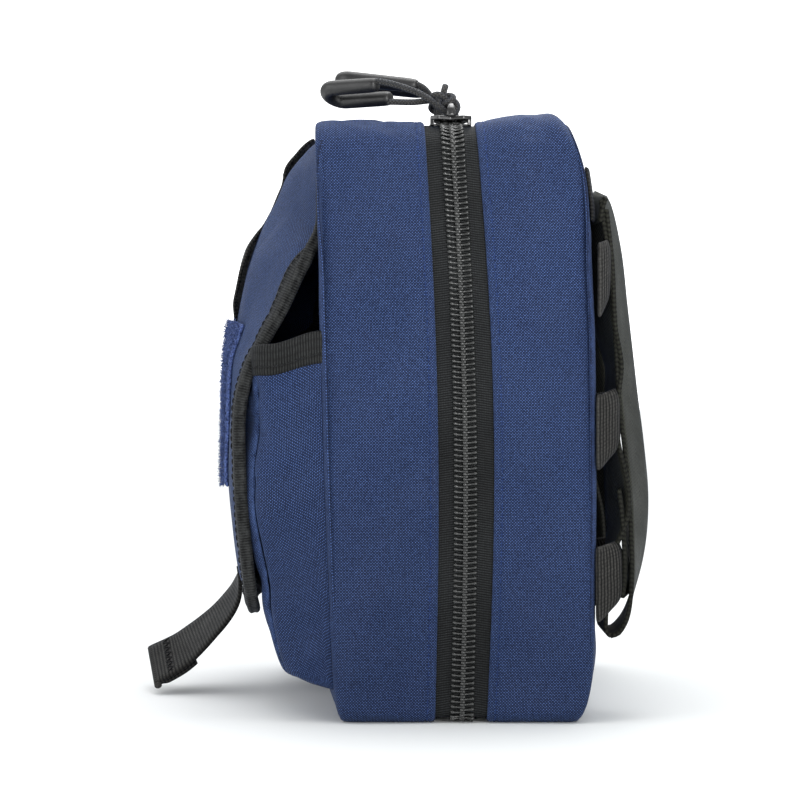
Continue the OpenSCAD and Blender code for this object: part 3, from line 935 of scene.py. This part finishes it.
def panel(which):
    """The face of one half, turned in at its seams and a little swelled."""
    shell = SHELLS[which]
    x, z = face_grid(0.0)
    y = graph(z, shell["edge"])
    near_edge = np.minimum(HALF_W - np.abs(x), np.minimum(z, BODY_H - z))
    turned = -1.4 * np.exp(-near_edge / 0.55) * shell["sign"]
    if which == "rear":
        sag = 4.6 * np.exp(-((z - 24) / 9.5) ** 2) + 1.2 * np.exp(-((z - 182) / 12) ** 2)
        rows = sum(np.exp(-((z - h) / 11) ** 4) for h in ROWS.values())
        flatter = np.where(z > 33, 1 - np.clip(rows, 0, 1), 1)
        sag = sag + 2.6 * flatter * (z > 33) * (z < 168)
        crown = sag * np.clip(np.cos(math.pi * x / (2 * HALF_W)), 0, 1) ** 0.8
        crown = crown * ease(near_edge, 0, 9)
        waves = 0.4 * ripple(grid(x, y, z), 30, 11)
        crown = crown + waves * ease(near_edge, 2, 16) * flatter
    else:
        crown = 0.5 * ease(near_edge, 0, 20) - front_recess(x, z)
        low = 5.0 * np.exp(-((z - 14) / 9) ** 2) * ease(near_edge, 0, 8)
        crown = crown + low * np.clip(np.cos(math.pi * x / (2 * HALF_W)), 0, 1) ** 0.6
    points = grid(x, y + turned + crown * shell["sign"], z)
    wear = np.exp(-near_edge / 0.7) * 0.12
    name = f"{which}_panel"
    piece = grid_object(name + "_cloth", points, NAVY, 1.4, wear=wear, flip=which == "rear")
    finish_piece(piece, shell["body"], "navy_nylon", name)


panel("rear")
panel("front")


LINING_START = 12.4                   # from the middle of the zip


def lining(which):
    """The inner tray of one half: a wall band and a sheet under the panel."""
    shell = SHELLS[which]
    sign = shell["sign"]
    depth = 4.6 if which == "rear" else 2.8
    xz = outline(2.6, 3.0)
    edge = graph(np.clip(xz[:, 1], 0, BODY_H), shell["edge"]) - sign * depth
    start = zip_y(xz[:, 1]) + sign * LINING_START
    share = np.linspace(0, 1, 12)[:, None]
    points = grid(xz[:, 0], start + (edge - start) * share, xz[:, 1])
    slack = np.sin(math.pi * share) * (0.5 + 0.4 * ripple(points, 40, 21))
    points = points - upright(outward(xz))[None] * slack[..., None]
    x, z = face_grid(2.7, 30, 40)
    back = graph(z, shell["edge"]) - sign * (depth + 0.2)
    near_edge = np.minimum(HALF_W - np.abs(x), np.minimum(z, BODY_H - z)) - 2.7
    face = grid(x, back, z)
    face[..., 1] -= sign * ease(near_edge, 0, 20) * (0.5 + 0.5 * ripple(face, 45, 22))
    face[..., 1] += front_recess(x, z) * (which == "front")
    wall = grid_object("wall", points, LINING, 0.7, flip=which == "rear")
    back = grid_object("back", face, LINING, 0.7, flip=which == "rear")
    for part in (wall, back):
        for modifier in list(part.modifiers):
            bpy.context.view_layer.objects.active = part
            bpy.ops.object.modifier_apply(modifier=modifier.name)
    tray = joined(f"{which}_lining_tray", [wall, back])
    finish_piece(tray, shell["body"], "lining", f"{which}_lining")


lining("rear")
lining("front")


def base_fold():
    """The strip of cloth that the pouch opens about, sewn to both halves."""
    y = np.concatenate([np.linspace(-10, -3.5, 5), np.linspace(-2.8, 2.8, 11),
                        np.linspace(3.5, 10, 5)])
    x = np.linspace(-OPEN_X + 2, OPEN_X - 2, 40)
    points = grid(x[None, :], y[:, None], 2.35)
    points[..., 2] += 0.12 * ripple(points, 22, 31)
    piece = grid_object("base_fold", points, NAVY, 0.8, flip=True)
    finish_piece(piece, "rear_half", "navy_nylon", "hinge_strip", to="front_half",
                 start=(0, 3.2, 2), end=(0, -3.2, 2))


base_fold()

# The zip

TAPE_IN = 1.7
TOOTH_PITCH = 1.75


def zip_line(inset, step):
    """The stretch of the outline that the zip follows, with its outward directions."""
    xz = outline(inset, step)
    out = outward(xz)
    keep = (np.abs(xz[:, 0]) > OPEN_X) | (xz[:, 1] > 3 * TAPE_IN)
    return xz[keep], out[keep]


def zip_side(which):
    """One side of the zip: a ribbed tape and its row of teeth."""
    sign, body = SHELLS[which]["sign"], SHELLS[which]["body"]
    xz, out = zip_line(TAPE_IN, 1.5)
    offsets = np.array([0.5, 1.5, 3.0, 4.4, 5.2, 7.0, 9.0, 11.0, 12.2])
    lifts = np.array([-0.1, 0.0, 0.05, 0.1, 0.0, 0.12, 0.2, 0.05, -0.1])
    y = zip_y(xz[:, 1])[None, :] + sign * offsets[:, None]
    points = grid(xz[:, 0], y, xz[:, 1])
    waves = 0.18 * ripple(points, 26, 41)
    points = points + upright(out)[None] * (lifts[:, None] + waves)[..., None]
    uv = grid(offsets[:, None], lengths(xz)[None, :])
    tape = grid_object(f"{which}_tape", points, TAPE, 0.6, uv=uv, flip=which == "rear")
    finish_piece(tape, body, "zip_tape", f"{which}_zip_tape")

    # Teeth: each is a bar with a fat return at the tape and a head past the middle
    xz, out = zip_line(1.05, TOOTH_PITCH / 2)
    stations = range(0 if sign > 0 else 1, len(xz), 2)
    reach = np.array([4.05, 3.85, 3.3, 2.5, 1.3, 0.5, -0.2, -0.75, -0.95])
    wide = np.array([0.20, 0.50, 0.60, 0.44, 0.36, 0.44, 0.66, 0.56, 0.25])
    tall = np.array([0.25, 0.62, 0.80, 0.55, 0.42, 0.52, 0.70, 0.6, 0.25])
    rise = np.array([-0.1, 0.05, 0.12, -0.1, -0.32, -0.15, 0.12, 0.1, 0.0])
    slope = np.array([0.34, 0.34, 0.28, 0.16, 0.0, -0.05, 0.0, 0.0, 0.0])
    angle = np.arange(8) * math.pi / 4
    ways = unit(np.gradient(xz, axis=0))
    vertices, faces = [], []
    for station in stations:
        t = np.array([ways[station][0], 0, ways[station][1]])
        n = np.array([out[station][0], 0, out[station][1]])
        middle = np.array([xz[station][0], zip_y(xz[station][1]), xz[station][1]])
        first = len(vertices)
        for r, w, h, lean, up in zip(reach, wide, tall, slope, rise):
            centre = middle + np.array([0, sign * r, 0]) + t * lean + n * up
            for a in angle:
                vertices.append(centre + t * w * math.cos(a) + n * h * math.sin(a))
        for j in range(len(reach) - 1):
            for i in range(8):
                a, b = first + j * 8 + i, first + j * 8 + (i + 1) % 8
                quad = (a, b, b + 8, a + 8)
                faces.append(quad if sign > 0 else quad[::-1])
        ends = [tuple(range(first, first + 8)),
                tuple(range(first + len(reach) * 8 - 8, first + len(reach) * 8))]
        faces += [ends[0][::-1], ends[1]] if sign > 0 else [ends[0], ends[1][::-1]]
    vertices = np.array(vertices)
    teeth = mesh_object(f"{which}_teeth", vertices, faces, COIL, vertices[:, :2])
    finish_piece(teeth, body, "zip_coil", f"{which}_coil")


zip_side("rear")
zip_side("front")

# Front pocket

POCKET_FRONT = [(10.8, -43.6), (11.9, -47.4), (13.1, -51.8), (14.8, -56.2), (16.0, -58.2),
                (18.4, -59.4), (24, -60.6), (37, -63.4), (54, -66.8), (66, -69.0), (84, -70.3),
                (104, -70.8), (128, -70.8)]
SIDE_COLUMNS, FRONT_COLUMNS = 16, 56


def pocket_grid():
    """The pocket as one band: near side, front and far side, closed in under the base."""
    count = 60
    v = np.linspace(0, 1, count)
    profile = smooth([(0, y, z) for z, y in POCKET_FRONT[::-1]], count=count)
    rows = []
    for j in range(count):
        front, z = profile[j, 1], profile[j, 2]
        back = np.interp(z, [p[0] for p in FRONT_EDGE], [p[1] for p in FRONT_EDGE]) + 1.2
        deep = back - front
        radius = min(8.0, 0.48 * deep + 0.3)
        w = POCKET_HALF + 1.0 * math.sin(math.pi * min(1.0, deep / 28)) - 0.6 * v[j]
        turn = np.linspace(0, math.pi / 2, 9)
        corner = np.stack([w - radius + radius * np.cos(turn),
                           front + radius - radius * np.sin(turn)], 1)
        side = np.vstack([[(w + 0.6 * (1 - v[j]), back)], corner])
        side = even(side, count=SIDE_COLUMNS)
        face = even(np.array([side[-1], side[-1] * [-1, 1]]), count=FRONT_COLUMNS)[1:-1]
        plan = np.vstack([side, face, side[::-1] * [-1, 1]])
        rows.append(np.column_stack([plan, np.full(len(plan), z)]))
    points = np.array(rows)
    # The mouth slopes down to the front, sags between the corners and is high on the far side
    x, y = points[0, :, 0], points[0, :, 1]
    forward = np.clip((y + 47) / (-71.2 + 47), 0, 1)
    drop = 2.6 - 4.6 * ease(forward, 0.0, 0.75)
    drop = drop - 2.0 * np.cos(math.pi * x / (2 * POCKET_HALF)) * ease(forward, 0.8, 1)
    drop = drop + 5.0 * ease(-x, 40, 66) * (1 - ease(forward, 0.1, 0.6))
    fade = (1 - ease(v, 0.0, 0.35))[:, None]
    points[..., 2] += drop[None, :] * fade
    return points


def pocket():
    """The bellows pocket in three sewn pieces, its mouth binding and its closure patch."""
    points = pocket_grid()
    rows, cols = points.shape[:2]
    u = np.arange(cols)
    edge_in = np.minimum(u, cols - 1 - u)[None, :]
    v = np.linspace(0, 1, rows)[:, None]
    free = ease(edge_in, 0, 6) * ease(v, 0.02, 0.14) * ease(1 - v, 0.0, 0.2)
    shift = 0.9 * ripple(points, 48, 52) + 0.5 * ripple(points, 22, 53)
    points = points + Sheet(points, u, np.arange(rows)).normals * (free * shift)[..., None]
    held = np.zeros((rows, cols))
    held[:, :2] = held[:, -2:] = 1.0
    held[:3] = held[-3:] = 1.0
    points = swelled(points, held, 2.2, slack=0.02, cap=3.5)
    normal = Sheet(points, u, np.arange(rows)).normals
    cut = SIDE_COLUMNS - 3
    spans = {"pocket_side_near": (0, cut + 1), "pocket_panel": (cut, cols - cut),
             "pocket_side_far": (cols - cut - 1, cols)}
    for name, (first, last) in spans.items():
        part = points[:, first:last].copy()
        wear = np.zeros(part.shape[:2])
        for column, inner in ((0, first == 0), (-1, last == cols)):
            if not inner:
                part[:, column] -= normal[:, first:last][:, column] * 1.0
                wear[:, column] = 0.6
        piece = grid_object(name + "_cloth", part, NAVY, 1.3, wear=wear)
        finish_piece(piece, "front_half", "navy_nylon", name)
    down = lengths(points[:, cols // 2])
    across = lengths(points[rows // 3])
    across -= across[cols // 2]
    sheet = Sheet(points, across, down)
    mouth_binding(sheet, across)
    patch_a, patch_b = np.meshgrid(np.linspace(-20, 20, 24), np.linspace(27, 61, 20))
    loop = patch("closure_loop_patch", sheet, patch_a, patch_b, HOOKS, 1.3, 1.2)
    finish_piece(loop, "front_half", "hook_loop", "closure_loop")
    line = even([[-19, 28], [19, 28], [19, 60], [-19, 60], [-19, 28]], 0.8)
    sew = sewn("closure_loop_sewing", sheet, line[:, 0], line[:, 1], 1.45)
    finish_piece(sew, "front_half", "hook_loop")


def mouth_binding(sheet, across):
    """Grosgrain folded over the mouth, with one line of stitches."""
    down = [6.0, 3.0, 0.6, 0.0, 0.0, 0.0, 0.6, 2.0, 4.0, 6.2, 6.8, 7.4, 9.0, 9.6]
    lift = [-2.0, -2.0, -1.9, -1.7, -0.6, 0.4, 0.75, 0.8, 0.8, 0.7, 0.5, 0.7, 0.7, 0.1]
    rise = [0.0, 0.0, 0.2, 0.5, 0.8, 0.5, 0.2, 0, 0, 0, 0, 0, 0, 0]
    columns = np.linspace(across[0] + 0.3, across[-1] - 0.3, 190)
    a, b = np.meshgrid(columns, down)
    points = sheet.at(a, b, np.array(lift)[:, None])
    points[..., 2] += np.array(rise)[:, None]
    uv = grid(lengths(np.array([down, lift]).T)[:, None], a)
    piece = grid_object("pocket_mouth_binding", points, BINDING, uv=uv)
    finish_piece(piece, "front_half", "black_binding", "pocket_binding")
    sew = sewn("pocket_binding_sewing", sheet, columns, 6.8 + 0 * columns, 0.75, 2.6, 2.1,
               0.22)
    finish_piece(sew, "front_half", "black_binding")


pocket()

# Flap

FLAP_MIDDLE = [(-50.2, 201.2), (-53.2, 199.6), (-57.4, 194.8), (-62.4, 186), (-69, 170),
               (-73.4, 159.5), (-76.2, 146.5), (-77.7, 136), (-80.2, 116), (-79.8, 92),
               (-78.0, 66), (-76, 50), (-73.8, 35)]
FLAP_EDGE = [(-46.6, 193.5), (-46.8, 189), (-47, 182), (-47.3, 167), (-51.2, 158),
             (-55.2, 148.5), (-60.4, 138), (-66.4, 128.2), (-72.0, 117), (-74.6, 103),
             (-74.2, 83), (-73.2, 66), (-71.8, 49), (-70, 34)]
FLAP_T = 2.0
FLAP_CORNER = 13.0


def flap_sheet():
    """The crowned flap over a flat rectangle: across, and down from its root."""
    rows, cols = 84, 61
    middle = smooth([(0, y, z) for y, z in FLAP_MIDDLE], count=rows)
    edge = smooth([(0, y, z) for y, z in FLAP_EDGE], count=rows)
    across = np.linspace(-FLAP_HALF, FLAP_HALF, cols)
    flat_rim = 1 - 0.14 * ease(edge[:, 2], 148, 168)[:, None]
    share = np.minimum(1, np.abs(across / FLAP_HALF)[None, :] / flat_rim)[..., None] ** 2.2
    # The far edge lies closer to the body, over the far end of the pocket's mouth
    hugging = 10.0 * ease(edge[:, 2], 129, 139) * ease(edge[:, 2], 176, 160)
    far = edge + np.outer(hugging, [0, 1, 0])
    far[:, 1] = np.minimum(far[:, 1], np.maximum(edge[:, 1], -51.5))
    sides = np.where((across > 0)[None, :, None], edge[:, None], far[:, None])
    points = middle[:, None] * (1 - share) + sides * share
    points[..., 0] = across
    v = np.linspace(0, 1, rows)[:, None]
    side = 1 - np.abs(across / FLAP_HALF)[None, :]
    free = ease(v, 0.05, 0.25) * (0.35 + 0.65 * ease(side, 0, 0.25))
    points[..., 1] += free * (0.7 * ripple(points, 60, 61) + 0.3 * ripple(points, 25, 62))
    held = np.zeros((rows, cols))
    held[:5] = 1.0
    held[:, :2] = held[:, -2:] = 1.0
    held[-3:] = 1.0
    points = swelled(points, held, 0.5, slack=0.008, cap=1.2, flip=True)
    down = lengths(points[:, cols // 2])
    return Sheet(points, across, down, flip=True)


def flap_outline(inset, length):
    """Flat outline of the flap from its near root round the low edge to the far root."""
    w, low, radius = FLAP_HALF - inset, length - inset, FLAP_CORNER - inset
    turn = np.linspace(0, math.pi / 2, 14)
    corner = np.stack([w - radius + radius * np.cos(turn),
                       low - radius + radius * np.sin(turn)], 1)
    half = np.vstack([[(w, 0)], corner, [(0, low)]])
    return np.vstack([half, half[-2::-1] * [-1, 1]])


def flap():
    """The flap with its bound edge, webbing, loop field and hook patch."""
    sheet = flap_sheet()
    length = sheet.b[-1] - 1.2
    b = np.linspace(0, length, 90)
    b = length * (1 - (1 - b / length) ** 1.25)
    deep = np.clip(b - (length - FLAP_CORNER), 0, FLAP_CORNER)
    w = FLAP_HALF - FLAP_CORNER + np.sqrt(np.maximum(FLAP_CORNER ** 2 - deep ** 2, 0.4))
    a = np.linspace(-1, 1, 56)[None, :] * w[:, None]
    a, b = np.broadcast_arrays(a, b[:, None])
    near_edge = np.minimum(w[:, None] - np.abs(a), length - b)
    cloth = patch("flap_cloth", sheet, a, b, NAVY, FLAP_T / 2, FLAP_T,
                  wear=np.exp(-near_edge / 2) * 0.3, flip=True)
    hinge = dict(to="flap", start=(0, -51.0, 202.0), end=(0, -57.0, 194.0))
    finish_piece(cloth, "front_half", "navy_nylon", "flap_panel", **hinge)
    flap_binding(sheet, length, hinge)
    flap_trim(sheet, hinge)


def offset_line(line, distance):
    """A flat line moved sideways towards the inside of a clockwise outline."""
    way = unit(np.gradient(line, axis=0))
    return line + np.stack([-way[:, 1], way[:, 0]], 1) * distance


def flap_binding(sheet, length, hinge):
    """Two plies of grosgrain round the free edges, meeting in a seam at the rim."""
    line = even(flap_outline(0, length), 1.6)
    inset = [6.5, 5.9, 4.2, 2.1, 0.6, -0.4, -1.0, -0.4, -1.0, -0.4, 0.6, 2.1, 4.2, 5.9, 6.5]
    lift = [-1.2, -1.75, -1.85, -2.1, -2.2, -1.8, -0.9, 0.0, 0.9, 1.8, 2.2, 2.1, 1.85,
            1.75, 1.2]
    rows = []
    for d, up in zip(inset, lift):
        moved = offset_line(line, d)
        out = np.minimum(0, FLAP_HALF - np.abs(moved[:, 0]))
        held = np.clip(moved[:, 0], -FLAP_HALF, FLAP_HALF)
        points = sheet.at(held, np.clip(moved[:, 1], 0, sheet.b[-1]), up)
        points[:, 0] -= out * np.sign(moved[:, 0])
        rows.append(points)
    points = np.array(rows)
    around = lengths(np.array([inset, lift]).T)
    uv = grid(around[:, None], lengths(line)[None, :])
    wear = np.zeros(points.shape[:2])
    wear[5:10] = 0.5
    piece = grid_object("flap_edge_binding", points, BINDING, uv=uv, wear=wear)
    finish_piece(piece, "front_half", "black_binding", "flap_binding", **hinge)
    inner = offset_line(line, 4.9)[4:-4]
    sew = sewn("flap_binding_sewing", sheet, inner[:, 0], inner[:, 1], 2.0, 2.6, 2.1, 0.22)
    finish_piece(sew, "front_half", "black_binding", **hinge)
    return piece


def nap(name, sheet, spots, lift, material, length, seed):
    """Short curled fibres that stand on a loop fabric."""
    rng = np.random.default_rng(seed)
    a, b = spots
    vertices, faces = [], []
    for root, normal in zip(sheet.at(a, b, lift), sheet.facing(a, b)):
        lean = unit(normal + rng.normal(size=3) * 0.55)
        side = unit(np.cross(lean, rng.normal(size=3)))
        tall, thin = length * rng.uniform(0.5, 1.2), rng.uniform(0.08, 0.13)
        tip = root + lean * tall + side * tall * rng.uniform(0.2, 0.7)
        middle = root + lean * tall * 0.65
        other = np.cross(side, lean)
        first = len(vertices)
        for at, r in ((root, thin), (middle, thin), (tip, thin * 0.6)):
            vertices += [at + side * r, at - side * r * 0.5 + other * r,
                         at - side * r * 0.5 - other * r]
        for j in (0, 3):
            for i in range(3):
                p, q = first + j + i, first + j + (i + 1) % 3
                faces.append((p, q, q + 3, p + 3))
        faces.append((first + 6, first + 7, first + 8))
    vertices = np.array(vertices)
    return mesh_object(name, vertices, faces, material, vertices[:, [0, 2]])


LOOPS_HALF = 38.0                     # half the width of the field of soft loops
LOOPS_Z = (137, 78)                   # its top and bottom
NAP_COUNT, NAP_LENGTH = 11000, 1.8


def flap_trim(sheet, hinge):
    """What is sewn to the flap."""
    b_of = lambda z: float(np.interp(-z, -sheet.points[:, len(sheet.a) // 2, 2], sheet.b))
    # Webbing down the middle, with lumps where it is sewn down and slack between them
    b = np.linspace(b_of(201), b_of(42), 120)
    a = np.linspace(-WEB_W / 2, WEB_W / 2, 11)
    a, b = np.meshgrid(a, b)
    lumps = 0.9 * np.exp(-((b - b_of(69)) / 3) ** 2) + 0.6 * np.exp(-((b - b_of(45)) / 3) ** 2)
    proud = 1.6 * ease(b, b_of(171), b_of(162)) * ease(b, b_of(136), b_of(144))
    proud = proud + 1.5 * ease(b, b_of(186), b_of(193))
    lift = FLAP_T / 2 + 1.25 + lumps + proud - 0.9 * ease(b, b_of(193), b_of(186)) * (
        1 - ease(b, b_of(173), b_of(168)))
    web = patch("flap_middle_webbing", sheet, a, b, ROW_WEB, lift, 1.3, flip=True)
    finish_piece(web, "front_half", "black_webbing", "flap_webbing", **hinge)
    sew = []
    for k, z in enumerate((190, 140, 70, 46)):
        x = np.linspace(-11, 11, 30)
        sew.append(sewn(f"tack{k}", sheet, x, b_of(z) + 0 * x, FLAP_T / 2 + 1.5, 1.3, 2.6, 0.3,
                        slant=1.4))
    finish_piece(joined("flap_webbing_tacks", sew), "front_half", "black_webbing", **hinge)
    # A field of soft loops that rises over the webbing
    top, low = (b_of(z) for z in LOOPS_Z)
    a, b = np.meshgrid(np.linspace(-LOOPS_HALF, LOOPS_HALF, 50), np.linspace(top, low, 44))
    rim = np.minimum(np.minimum(LOOPS_HALF - np.abs(a), b - top), low - b)
    over_web = 1.3 * ease(WEB_W / 2 + 3 - np.abs(a), 0, 4)
    lift = FLAP_T / 2 + 0.6 + over_web + 0.8 * ease(rim, 0, 1.6)
    field = patch("flap_loop_cloth", sheet, a, b, LOOPS, lift + 0.3, 1.2, flip=True)
    finish_piece(field, "flap", "loop_field", "flap_loop_field")
    rng = np.random.default_rng(71)
    spots = (rng.uniform(0.4 - LOOPS_HALF, LOOPS_HALF - 0.4, NAP_COUNT),
             rng.uniform(top + 0.4, low - 0.4, NAP_COUNT))
    high = FLAP_T / 2 + 1.6 + 1.3 * ease(WEB_W / 2 + 3 - np.abs(spots[0]), 0, 4)
    fibres = nap("flap_loop_nap", sheet, spots, high, LOOPS, NAP_LENGTH, 72)
    finish_piece(fibres, "flap", "loop_field")
    # The hook patch under the flap
    a, b = np.meshgrid(np.linspace(20, -20, 20), np.linspace(b_of(98), b_of(64), 18))
    hook = patch("closure_hook_patch", sheet, a, b, HOOKS, -FLAP_T / 2 - 1.3, 1.2, flip=True)
    finish_piece(hook, "flap", "hook_loop", "closure_hook")


flap()


def tail():
    """The webbing pull: it leaves the flap, twists, and is folded and tacked at its tip."""
    path = [(-79.8, 47), (-80.5, 41.5), (-82.4, 35.4), (-86.6, 29.2), (-92.2, 23.4),
            (-98, 18.2), (-103.5, 14), (-112, 9.6)]
    twist = [(0, 0), (0.25, -14), (0.5, -19), (0.75, -25), (1, -28)]
    piece, line, side, up = strap("pull_tail_webbing", path, 0.0, ROW_WEB, twist, 1.2)
    count = int(len(line) * 0.30)
    back = line[-count:][::-1] - up[-count:][::-1] * (0.6 + 1.2 * ease(
        np.linspace(0, 1, count), 0, 0.25))[:, None]
    fold = sweep("fold", back, side[-count:][::-1], up[-count:][::-1],
                 web_section(WEB_W - 0.3, 1.3), ROW_WEB)
    nose = line[-1] + unit(line[-1] - line[-2]) * 0.5 - up[-1] * 0.85
    ends = np.array([nose + side[-1] * x for x in np.linspace(-WEB_W / 2, WEB_W / 2, 12)])
    rim = tube("rim", ends, 1.45, ROW_WEB, 10)
    whole = joined("pull_tail_webbing", [piece, fold, rim])
    hinge = dict(to="tail", start=(0, -79.8, 46.5), end=(0, -81.5, 35.0))
    finish_piece(whole, "flap", "black_webbing", "pull_tail", **hinge)
    at = int(len(line) * 0.885)
    across = np.linspace(-11.6, 11.6, 24)
    zigzag = np.array([line[at] + side[at] * x + up[at] * 0.95 for x in across])
    sew = stitches("tail_tack", zigzag, np.tile(up[at], (24, 1)), BLACK_THREAD, 1.7, 3.4,
                   0.26, slant=1.7, zigzag=True)
    finish_piece(sew, "tail", "black_webbing")


tail()

# Webbing on the back

ARCH = [(37, 0), (39.4, 0.1), (41.4, 0.5), (43.4, 0.85), (47, 0.98), (51, 1), (57, 1),
        (62, 1), (66, 0.96), (69.6, 0.86), (71.6, 0.62), (73.4, 0.25), (75.2, -0.15)]
ROW_Y = 46.4
STRAP_PITCH = 38.1
BULGES = {"webbing_row_low": 8.9, "webbing_row_middle": 8.3, "webbing_row_top": 4.2}


def row(name, z, seed):
    """One row of webbing: sewn down in the middle, arched over each strap and cupped there."""
    flat = [(x, 0) for x in (0, 8, 16, 24, 31)]
    line = smooth([(x, y * BULGES[name], 0) for x, y in flat + ARCH], 1.2)
    line = np.vstack([line[::-1] * [-1, 1, 1], line[1:]])
    heights = np.linspace(-1, 1, 15)[:, None]
    arch = line[None, :, 1] * (1 - 0.3 * np.abs(heights) ** 5)
    share = np.clip(line[:, 1] / BULGES[name], 0, 1)[None, :]
    points = grid(line[None, :, 0], ROW_Y + arch, z + heights * WEB_W / 2 * (1 - 0.16 * share))
    points[..., 1] += 0.25 * ripple(points, 24, seed)
    points[..., 2] += 4.6 * share * (0.85 + 0.15 * ripple(points, 40, seed + 3))
    wear = np.zeros(points.shape[:2])
    wear[[0, -1]] = 0.7
    uv = grid(heights * WEB_W / 2, lengths(line)[None, :])
    piece = grid_object(name + "_web", points, ROW_WEB, 1.4, uv=uv, wear=wear, flip=True)
    finish_piece(piece, "rear_half", "black_webbing", name)
    tacks = []
    tack_x = HALF_W - STRAP_PITCH
    for k, x in enumerate((-tack_x, -WEB_W / 2, WEB_W / 2, tack_x)):
        zs = np.linspace(-10.5, 10.5, 24) + z
        spots = np.stack([x + 0 * zs, ROW_Y + 0.25 + 0 * zs, zs], 1)
        tacks.append(stitches(f"tack{k}", spots, np.tile([0, 1.0, 0], (24, 1)),
                              BLACK_THREAD, 1.3, 2.8, 0.3, slant=1.4))
    finish_piece(joined(name + "_tacks", tacks), "rear_half", "black_webbing")


for number, (row_name, row_z) in enumerate(ROWS.items()):
    row(row_name, row_z, 80 + number)

STRAP_LINE = [(45.9, 168), (46.1, 173), (46.9, 177), (48.3, 178), (49.6, 175.4),
              (51, 168), (53, 156), (54.6, 140), (55.9, 125), (57.4, 108), (59.4, 91),
              (60.9, 74), (60.7, 57), (59.1, 44), (56.9, 35), (53.4, 29.6), (50.2, 28.6)]
TUCK_LINE = [(50.2, 28.6), (48.8, 30.2), (48.6, 34), (49.4, 44), (50.6, 54), (53.2, 64),
             (54, 74), (53, 84), (51.6, 97), (52.2, 110), (52.6, 120), (50, 132),
             (48.4, 144), (47.5, 157), (46.5, 172)]
TIP_LINE = [(54.4, 78), (55.6, 72), (56.8, 64), (57.4, 55), (57.2, 47), (56.2, 41)]
STRAP_TWIST = [(0, 4), (0.12, 15), (0.28, 16), (0.55, 21), (0.75, 19), (0.9, 8), (1, 0)]
TUCK_TWIST = [(0, 0), (0.2, 0), (0.32, 12), (0.5, 3), (0.7, 8), (0.85, 15), (1, 11)]
TIP_TWIST = [(0, 7), (0.5, 12), (1, 11)]


def back_straps():
    """Both attachment straps, with their sewn tops and tucked ends."""
    for side, x, sign in (("near", STRAP_X, 1), ("far", -STRAP_X, -1)):
        body = f"attachment_strap_{side}"
        def turned(twist):
            return [(share, degrees * sign) for share, degrees in twist]

        piece = strap(f"strap_{side}_web", STRAP_LINE, x, STRAP, turned(STRAP_TWIST))[0]
        finish_piece(piece, "rear_half", "black_webbing", f"strap_{side}", to=body,
                     start=(x, 46.9, 177.5), end=(x, 53, 160))
        tuck = strap(f"strap_tuck_{side}_web", TUCK_LINE, x, STRAP, turned(TUCK_TWIST), 1.0)[0]
        tip = strap("tip", TIP_LINE, x, STRAP, turned(TIP_TWIST), 1.0)[0]
        tuck = joined(f"strap_tuck_{side}_web", [tuck, tip])
        finish_piece(tuck, "rear_half", "black_webbing", f"strap_tuck_{side}", to=body,
                     start=(x, 46.4, 35.5), end=(x, 49.0, 29.0))
        cross = np.linspace(-11, 11, 24)
        spots = np.stack([x + cross, 54.7 + 0.2 * cross * sign, 72 + 0 * cross], 1)
        tack = stitches(f"strap_tack_{side}", spots, np.tile([0, 1.0, 0], (24, 1)),
                        BLACK_THREAD, 1.7, 3.6, 0.28, slant=1.7, zigzag=True)
        finish_piece(tack, "rear_half", "black_webbing")
    low, high = box_mm("strap_anchor")
    path = smooth([(0, 44.6, 168), (0, 44.6, 172), (0, 43.6, 179), (0, 42.4, 186.5)], 1.5)
    cells = np.linspace(low[0], high[0], 60)
    sunk = 1.6 * ease(np.abs(cells), high[0] - 7, high[0])
    points = grid(cells[None, :], path[:, None, 1] + 0.9 - sunk, path[:, None, 2])
    points[..., 1] += 0.3 * ripple(points, 30, 91)
    piece = grid_object("strap_anchor_web", points, ROW_WEB, 1.1, flip=True)
    finish_piece(piece, "rear_half", "black_webbing", "strap_anchor")


back_straps()

# Inside


def inside():
    """The stiff board, the elastic loops and the flat inner pocket."""
    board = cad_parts["rear_board"]
    for place in board.material_slots:
        place.material = BOARD
    low, high = box_mm("elastic_loops")
    x = np.linspace(low[0], high[0], 130)
    pitch = (high[0] - low[0]) / 5
    y = high[1] - 0.7 - 3 * np.sin(math.pi * (x - low[0]) / pitch) ** 2
    z = np.linspace(low[2], high[2], 9)
    points = grid(x[None, :], y[None, :], z[:, None])
    uv = grid(z[:, None], lengths(np.stack([x, y], 1))[None, :])
    band = grid_object("elastic_loop_band", points, ELASTIC, 1.2, uv=uv)
    finish_piece(band, "rear_half", "black_webbing", "elastic_loops")
    tacks = []
    for k in range(6):
        zs = np.linspace(low[2] + 1.5, high[2] - 1.5, 30)
        spots = np.stack([low[0] + k * pitch + 0 * zs + (0.8 if k == 0 else -0.8 * (k == 5)),
                          high[1] - 0.85 + 0 * zs, zs], 1)
        tacks.append(stitches(f"tack{k}", spots, np.tile([0, -1.0, 0], (30, 1)),
                              BLUE_THREAD, 1.4, 2.4, 0.28, slant=1.2))
    finish_piece(joined("elastic_tacks", tacks), "rear_half", "lining")

    low, high = box_mm("inner_pocket")
    profile = smooth([(0, -37.4, low[2]), (0, -36.4, 30), (0, -36.9, 70), (0, -40, high[2])],
                     count=40)
    x = np.linspace(low[0], high[0], 50)
    points = grid(x[None, :], profile[:, None, 1], profile[:, None, 2])
    still = ease(8 - np.abs(points[..., 2] - 60), -50, 0)
    points[..., 1] += 0.5 * ripple(points, 34, 95) * still
    pouch = grid_object("inner_pocket_cloth", points, LINING, 0.8)
    finish_piece(pouch, "front_half", "lining", "inner_pocket")


inside()
